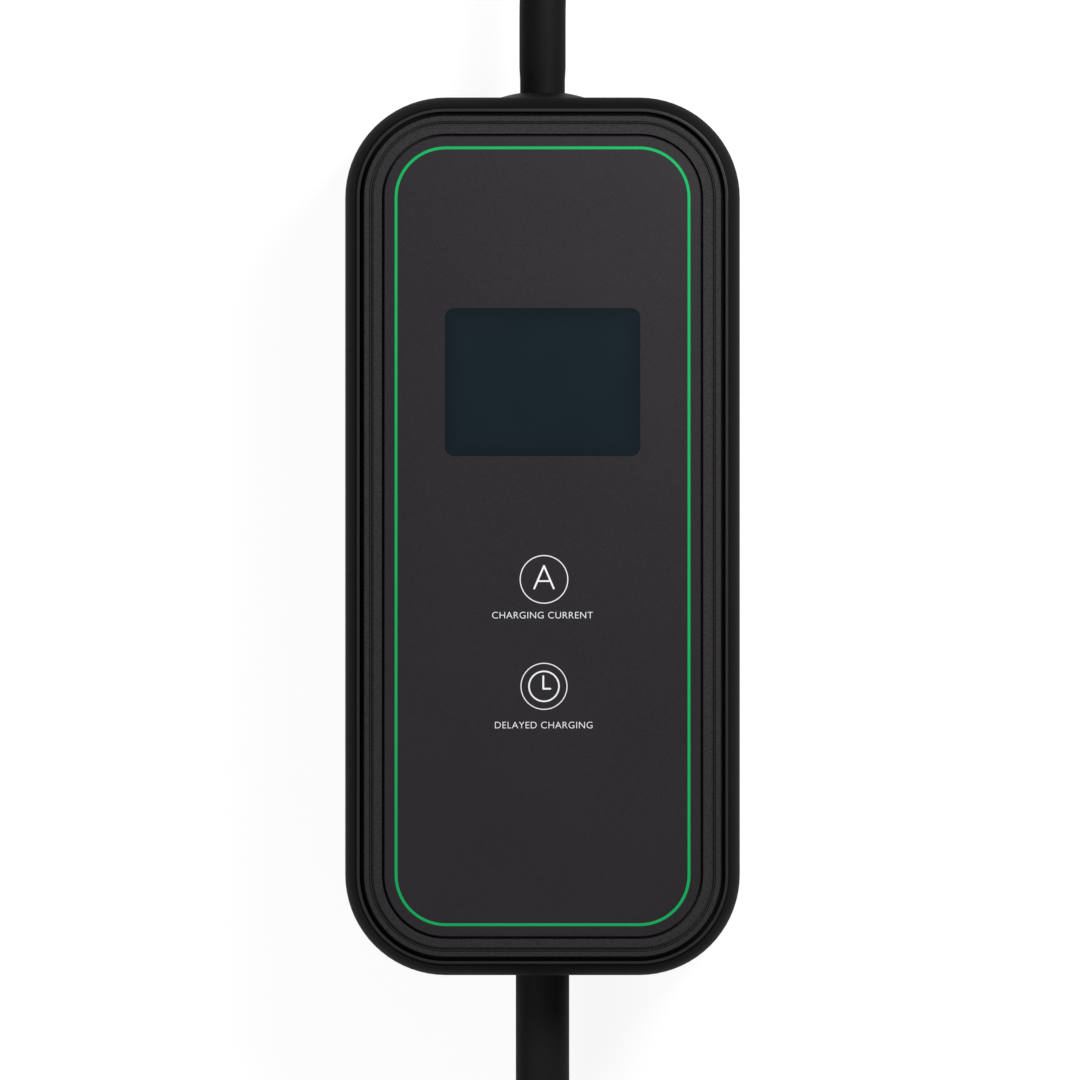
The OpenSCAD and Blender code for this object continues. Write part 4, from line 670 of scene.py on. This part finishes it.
def handle_half(name, side):
    """Half of the handle: half circles whose radius and middle follow the stations, closed along the middle
    plane. Grooves run across the grip on its sides and its underside, each half a sine squared, and the edge
    at the parting line is broken."""
    s = np.linspace(0, 1, HANDLE_ROWS)
    radius, middle = (eased(s, STATIONS[:, 0], STATIONS[:, k]) for k in (1, 2))
    a = np.linspace(np.pi / 2, -np.pi / 2, HANDLE_POINTS)
    held = np.clip(1 - np.abs(s - GRIP_MIDDLE) / GRIP_HALF, 0, 1) ** 0.5
    wave = np.clip(np.sin(s * HANDLE_L / GRIP_PITCH * 2 * np.pi), 0, 1) ** 2
    below = np.clip((GRIP_TOP - np.sin(a)) / GRIP_FADE, 0, 1)
    groove = GRIP_DEPTH * (held * wave)[:, None] * below[None]
    to_edge = (np.pi / 2 - np.abs(a)) * radius[:, None]
    edge = BROKEN_EDGE[0] * np.clip(1 - to_edge / BROKEN_EDGE[1], 0, 1)
    r = radius[:, None] - groove - edge
    arc = np.stack([side * r * np.cos(a)[None], np.broadcast_to(-s[:, None] * HANDLE_L, r.shape),
                    middle[:, None] + r * np.sin(a)[None]], 2)
    # both halves are walked the same way round
    if side < 0:
        arc = arc[:, ::-1]
    piece = skin(name, arc + (HANDLE_X, HANDLE_Y, 0), handle_plastic, sharp=50)
    return piece


handles = [handle_half("connector_handle_left", -1), handle_half("connector_handle_right", 1)]
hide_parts("connector_left_shell")
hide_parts("connector_right_shell")


# Prints on the front panel

INK_LOW, INK_HIGH = PANEL_TOP - 0.01, PANEL_TOP + 0.04
INK_LAYER = 0.01                # a stroke that crosses another lies so much higher
CAP_POINTS, CIRCLE_POINTS = 13, 128
# Radius and width of each ring, and the ends of each stroke, out from the middle of its key
AMPERE_RING = (6.02, 0.25)
AMPERE_TOP, AMPERE_FOOT, AMPERE_BAR = 3.42, (2.47, -2.3), (1.62, -0.43)
AMPERE_LEG_W, AMPERE_BAR_W = 0.46, 0.41
TIMER_RING, TIMER_DIAL = (5.82, 0.24), (3.79, 0.39)
TIMER_HUB, HOUR_Y, MINUTE_X, HAND_W = (-0.18, -0.61), 2.56, 1.6, 0.45
# Middle of each label, height of its capitals, and the spacing and the weight of its letters
AMPERE_LABEL, TIMER_LABEL, CAPITAL_H = (0.0, -19.95), (0.3, -47.75), 1.66
LETTER_SPACING, LETTER_THINNED = 1.06, -0.012
ONE_CORNER = 1e-7               # corners of a letter closer than this, in metres, are one


def stroke(name, key_y, start, end, width, layer=0):
    """A printed line with round ends: two half circles of half the width, facing away from each other along
    the line and joined by its sides, as high as the ink and its layer."""
    start, end = np.array(start) + (KEY_X, key_y), np.array(end) + (KEY_X, key_y)
    turned = math.atan2(*(end - start)[::-1])
    a = np.linspace(-np.pi / 2, np.pi / 2, CAP_POINTS) + turned
    cap = np.stack([np.cos(a), np.sin(a)], 1) * width / 2
    outline = np.vstack([end + cap, start - cap])
    heights = (INK_LOW, INK_HIGH + INK_LAYER * layer)
    grid = np.stack([np.column_stack([outline, np.full(len(outline), z)]) for z in heights])
    return skin(name, grid, white_ink)


def ring(name, key_y, radius, width):
    """A printed ring: a rectangular section as wide as the line and as high as the ink, carried round a
    circle."""
    a = np.linspace(0, 2 * np.pi, CIRCLE_POINTS, endpoint=False)[:, None]
    r = radius + np.array([-1, 1, 1, -1]) * width / 2
    z = np.broadcast_to(np.array([INK_LOW, INK_LOW, INK_HIGH, INK_HIGH]), (CIRCLE_POINTS, 4))
    grid = np.stack([KEY_X + r * np.cos(a), key_y + r * np.sin(a), z], 2)
    return skin(name, grid, white_ink, ring=True, sharp=30)


def label(name, words, middle):
    """A line of words round its middle: the outline of the built-in typeface, raised from the panel to the
    ink's height and joined along its edges."""
    curve = bpy.data.curves.new(name, "FONT")
    curve.body = words
    curve.align_x, curve.align_y = "CENTER", "CENTER"
    curve.space_character = LETTER_SPACING
    curve.offset = LETTER_THINNED
    curve.extrude = 0.5
    text = bpy.data.objects.new(name, curve)
    mesh = bpy.data.meshes.new_from_object(text)
    bpy.data.objects.remove(text)
    bpy.data.curves.remove(curve)
    co = np.zeros(len(mesh.vertices) * 3)
    mesh.vertices.foreach_get("co", co)
    co = co.reshape(-1, 3)
    low, high = co.min(0), co.max(0)
    scale = CAPITAL_H / (high[1] - low[1])
    co = (co - (low + high) / 2) * scale + (*middle, 0)
    co[:, 2] = np.where(co[:, 2] > 0, INK_HIGH, INK_LOW)
    mesh.vertices.foreach_set("co", (co * MM).ravel())
    joined = bmesh.new()
    joined.from_mesh(mesh)
    bmesh.ops.remove_doubles(joined, verts=joined.verts, dist=ONE_CORNER)
    bmesh.ops.recalc_face_normals(joined, faces=joined.faces)
    joined.to_mesh(mesh)
    joined.free()
    return place(name, mesh, white_ink)


ring("ampere_key_ring", UPPER_KEY, *AMPERE_RING)
for layer, (leg, side) in enumerate((("left", -1), ("right", 1))):
    stroke(f"ampere_key_{leg}", UPPER_KEY, (0, AMPERE_TOP), (side * AMPERE_FOOT[0], AMPERE_FOOT[1]),
           AMPERE_LEG_W, layer)
stroke("ampere_key_bar", UPPER_KEY, (-AMPERE_BAR[0], AMPERE_BAR[1]), AMPERE_BAR, AMPERE_BAR_W, layer=2)
ring("timer_key_ring", LOWER_KEY, *TIMER_RING)
ring("timer_key_dial", LOWER_KEY, *TIMER_DIAL)
stroke("timer_key_hour", LOWER_KEY, TIMER_HUB, (TIMER_HUB[0], HOUR_Y), HAND_W)
stroke("timer_key_minute", LOWER_KEY, TIMER_HUB, (MINUTE_X, TIMER_HUB[1]), HAND_W, layer=1)
label("ampere_key_label", "CHARGING CURRENT", AMPERE_LABEL)
label("timer_key_label", "DELAYED CHARGING", TIMER_LABEL)


# Stage, in metres and watts

FLOOR_HALF, FLOOR_Z = 6.0, -0.0004
FLOOR_GLOW, FLOOR_TONE = 0.90, 0.19             # white that it shows, and how much light it throws back
SKY_LEVEL = 0.12
BOX_MIDDLE = (0.0, 0.0, 0.05)
PICTURE_MIDDLE = (-0.64 * MM, -0.94 * MM, 49.8 * MM)
PICTURE_W, CAMERA_AWAY = 0.2734, 5.0


def lamp(name, at, size, power):
    """A square soft light that faces the box."""
    data = bpy.data.lights.new(name, "AREA")
    data.shape, data.size, data.energy = "SQUARE", size, power
    light = bpy.data.objects.new(name, data)
    light.location = at
    away = np.array(at) - np.array(BOX_MIDDLE)
    flat = math.hypot(away[0], away[1])
    light.rotation_euler = (math.atan2(flat, away[2]), 0, math.atan2(away[0], -away[1]))
    bpy.context.scene.collection.objects.link(light)


def floor():
    """A white floor: it takes the soft shadow as a matt surface, and adds the white that camera and mirrors
    see."""
    material = bpy.data.materials.new("white_floor")
    material.use_nodes = True
    tree = material.node_tree
    tree.nodes.clear()
    path = add(tree, "ShaderNodeLightPath")
    seen = add(tree, "ShaderNodeMath", {"operation": "ADD"},
               {0: path.outputs["Is Camera Ray"], 1: path.outputs["Is Glossy Ray"]})
    seen = add(tree, "ShaderNodeMath", {"operation": "ADD", "use_clamp": True},
               {0: seen.outputs[0], 1: path.outputs["Is Transmission Ray"]})
    strength = add(tree, "ShaderNodeMath", {"operation": "MULTIPLY"}, {0: seen.outputs[0], 1: FLOOR_GLOW})
    glow = add(tree, "ShaderNodeEmission", {}, {"Strength": strength.outputs[0]})
    matt = add(tree, "ShaderNodeBsdfDiffuse", {}, {"Color": (FLOOR_TONE, FLOOR_TONE, FLOOR_TONE, 1)})
    both = add(tree, "ShaderNodeAddShader", {}, {0: glow.outputs[0], 1: matt.outputs[0]})
    add(tree, "ShaderNodeOutputMaterial", {}, {"Surface": both.outputs[0]})
    mesh = bpy.data.meshes.new("floor")
    corners = [(x * FLOOR_HALF, y * FLOOR_HALF, FLOOR_Z) for x, y in ((-1, -1), (1, -1), (1, 1), (-1, 1))]
    mesh.from_pydata(corners, [], [(0, 1, 2, 3)])
    mesh.materials.append(material)
    piece = bpy.data.objects.new("floor", mesh)
    bpy.context.scene.collection.objects.link(piece)


def sky():
    """An even dim sky for the light, white where the camera looks past the floor."""
    world = bpy.data.worlds.new("studio")
    bpy.context.scene.world = world
    world.use_nodes = True
    tree = world.node_tree
    path = add(tree, "ShaderNodeLightPath")
    strength = add(tree, "ShaderNodeMapRange", {},
                   {"Value": path.outputs["Is Camera Ray"], "To Min": SKY_LEVEL, "To Max": 1.0})
    tree.links.new(strength.outputs["Result"], tree.nodes["Background"].inputs["Strength"])
    tree.nodes["Background"].inputs["Color"].default_value = (1, 1, 1, 1)


def camera():
    """A camera straight above the middle of the picture that sees the picture's width at the height of that
    middle. It stands far off with a long lens, because the photo shows next to nothing of the box's
    sides."""
    x, y, z = PICTURE_MIDDLE
    data = bpy.data.cameras.new("camera")
    data.sensor_width = 36.0
    data.lens = data.sensor_width * CAMERA_AWAY / PICTURE_W
    data.clip_end = 50.0
    eye = bpy.data.objects.new("camera", data)
    eye.location = (x, y, z + CAMERA_AWAY)
    bpy.context.scene.collection.objects.link(eye)
    bpy.context.scene.camera = eye


floor()
sky()
lamp("key", (0.24, 0.27, 0.42), 0.26, 2.9)
lamp("fill", (-0.55, -0.4, 1.0), 0.7, 4.6)
camera()
bpy.context.scene.view_settings.view_transform = "Standard"
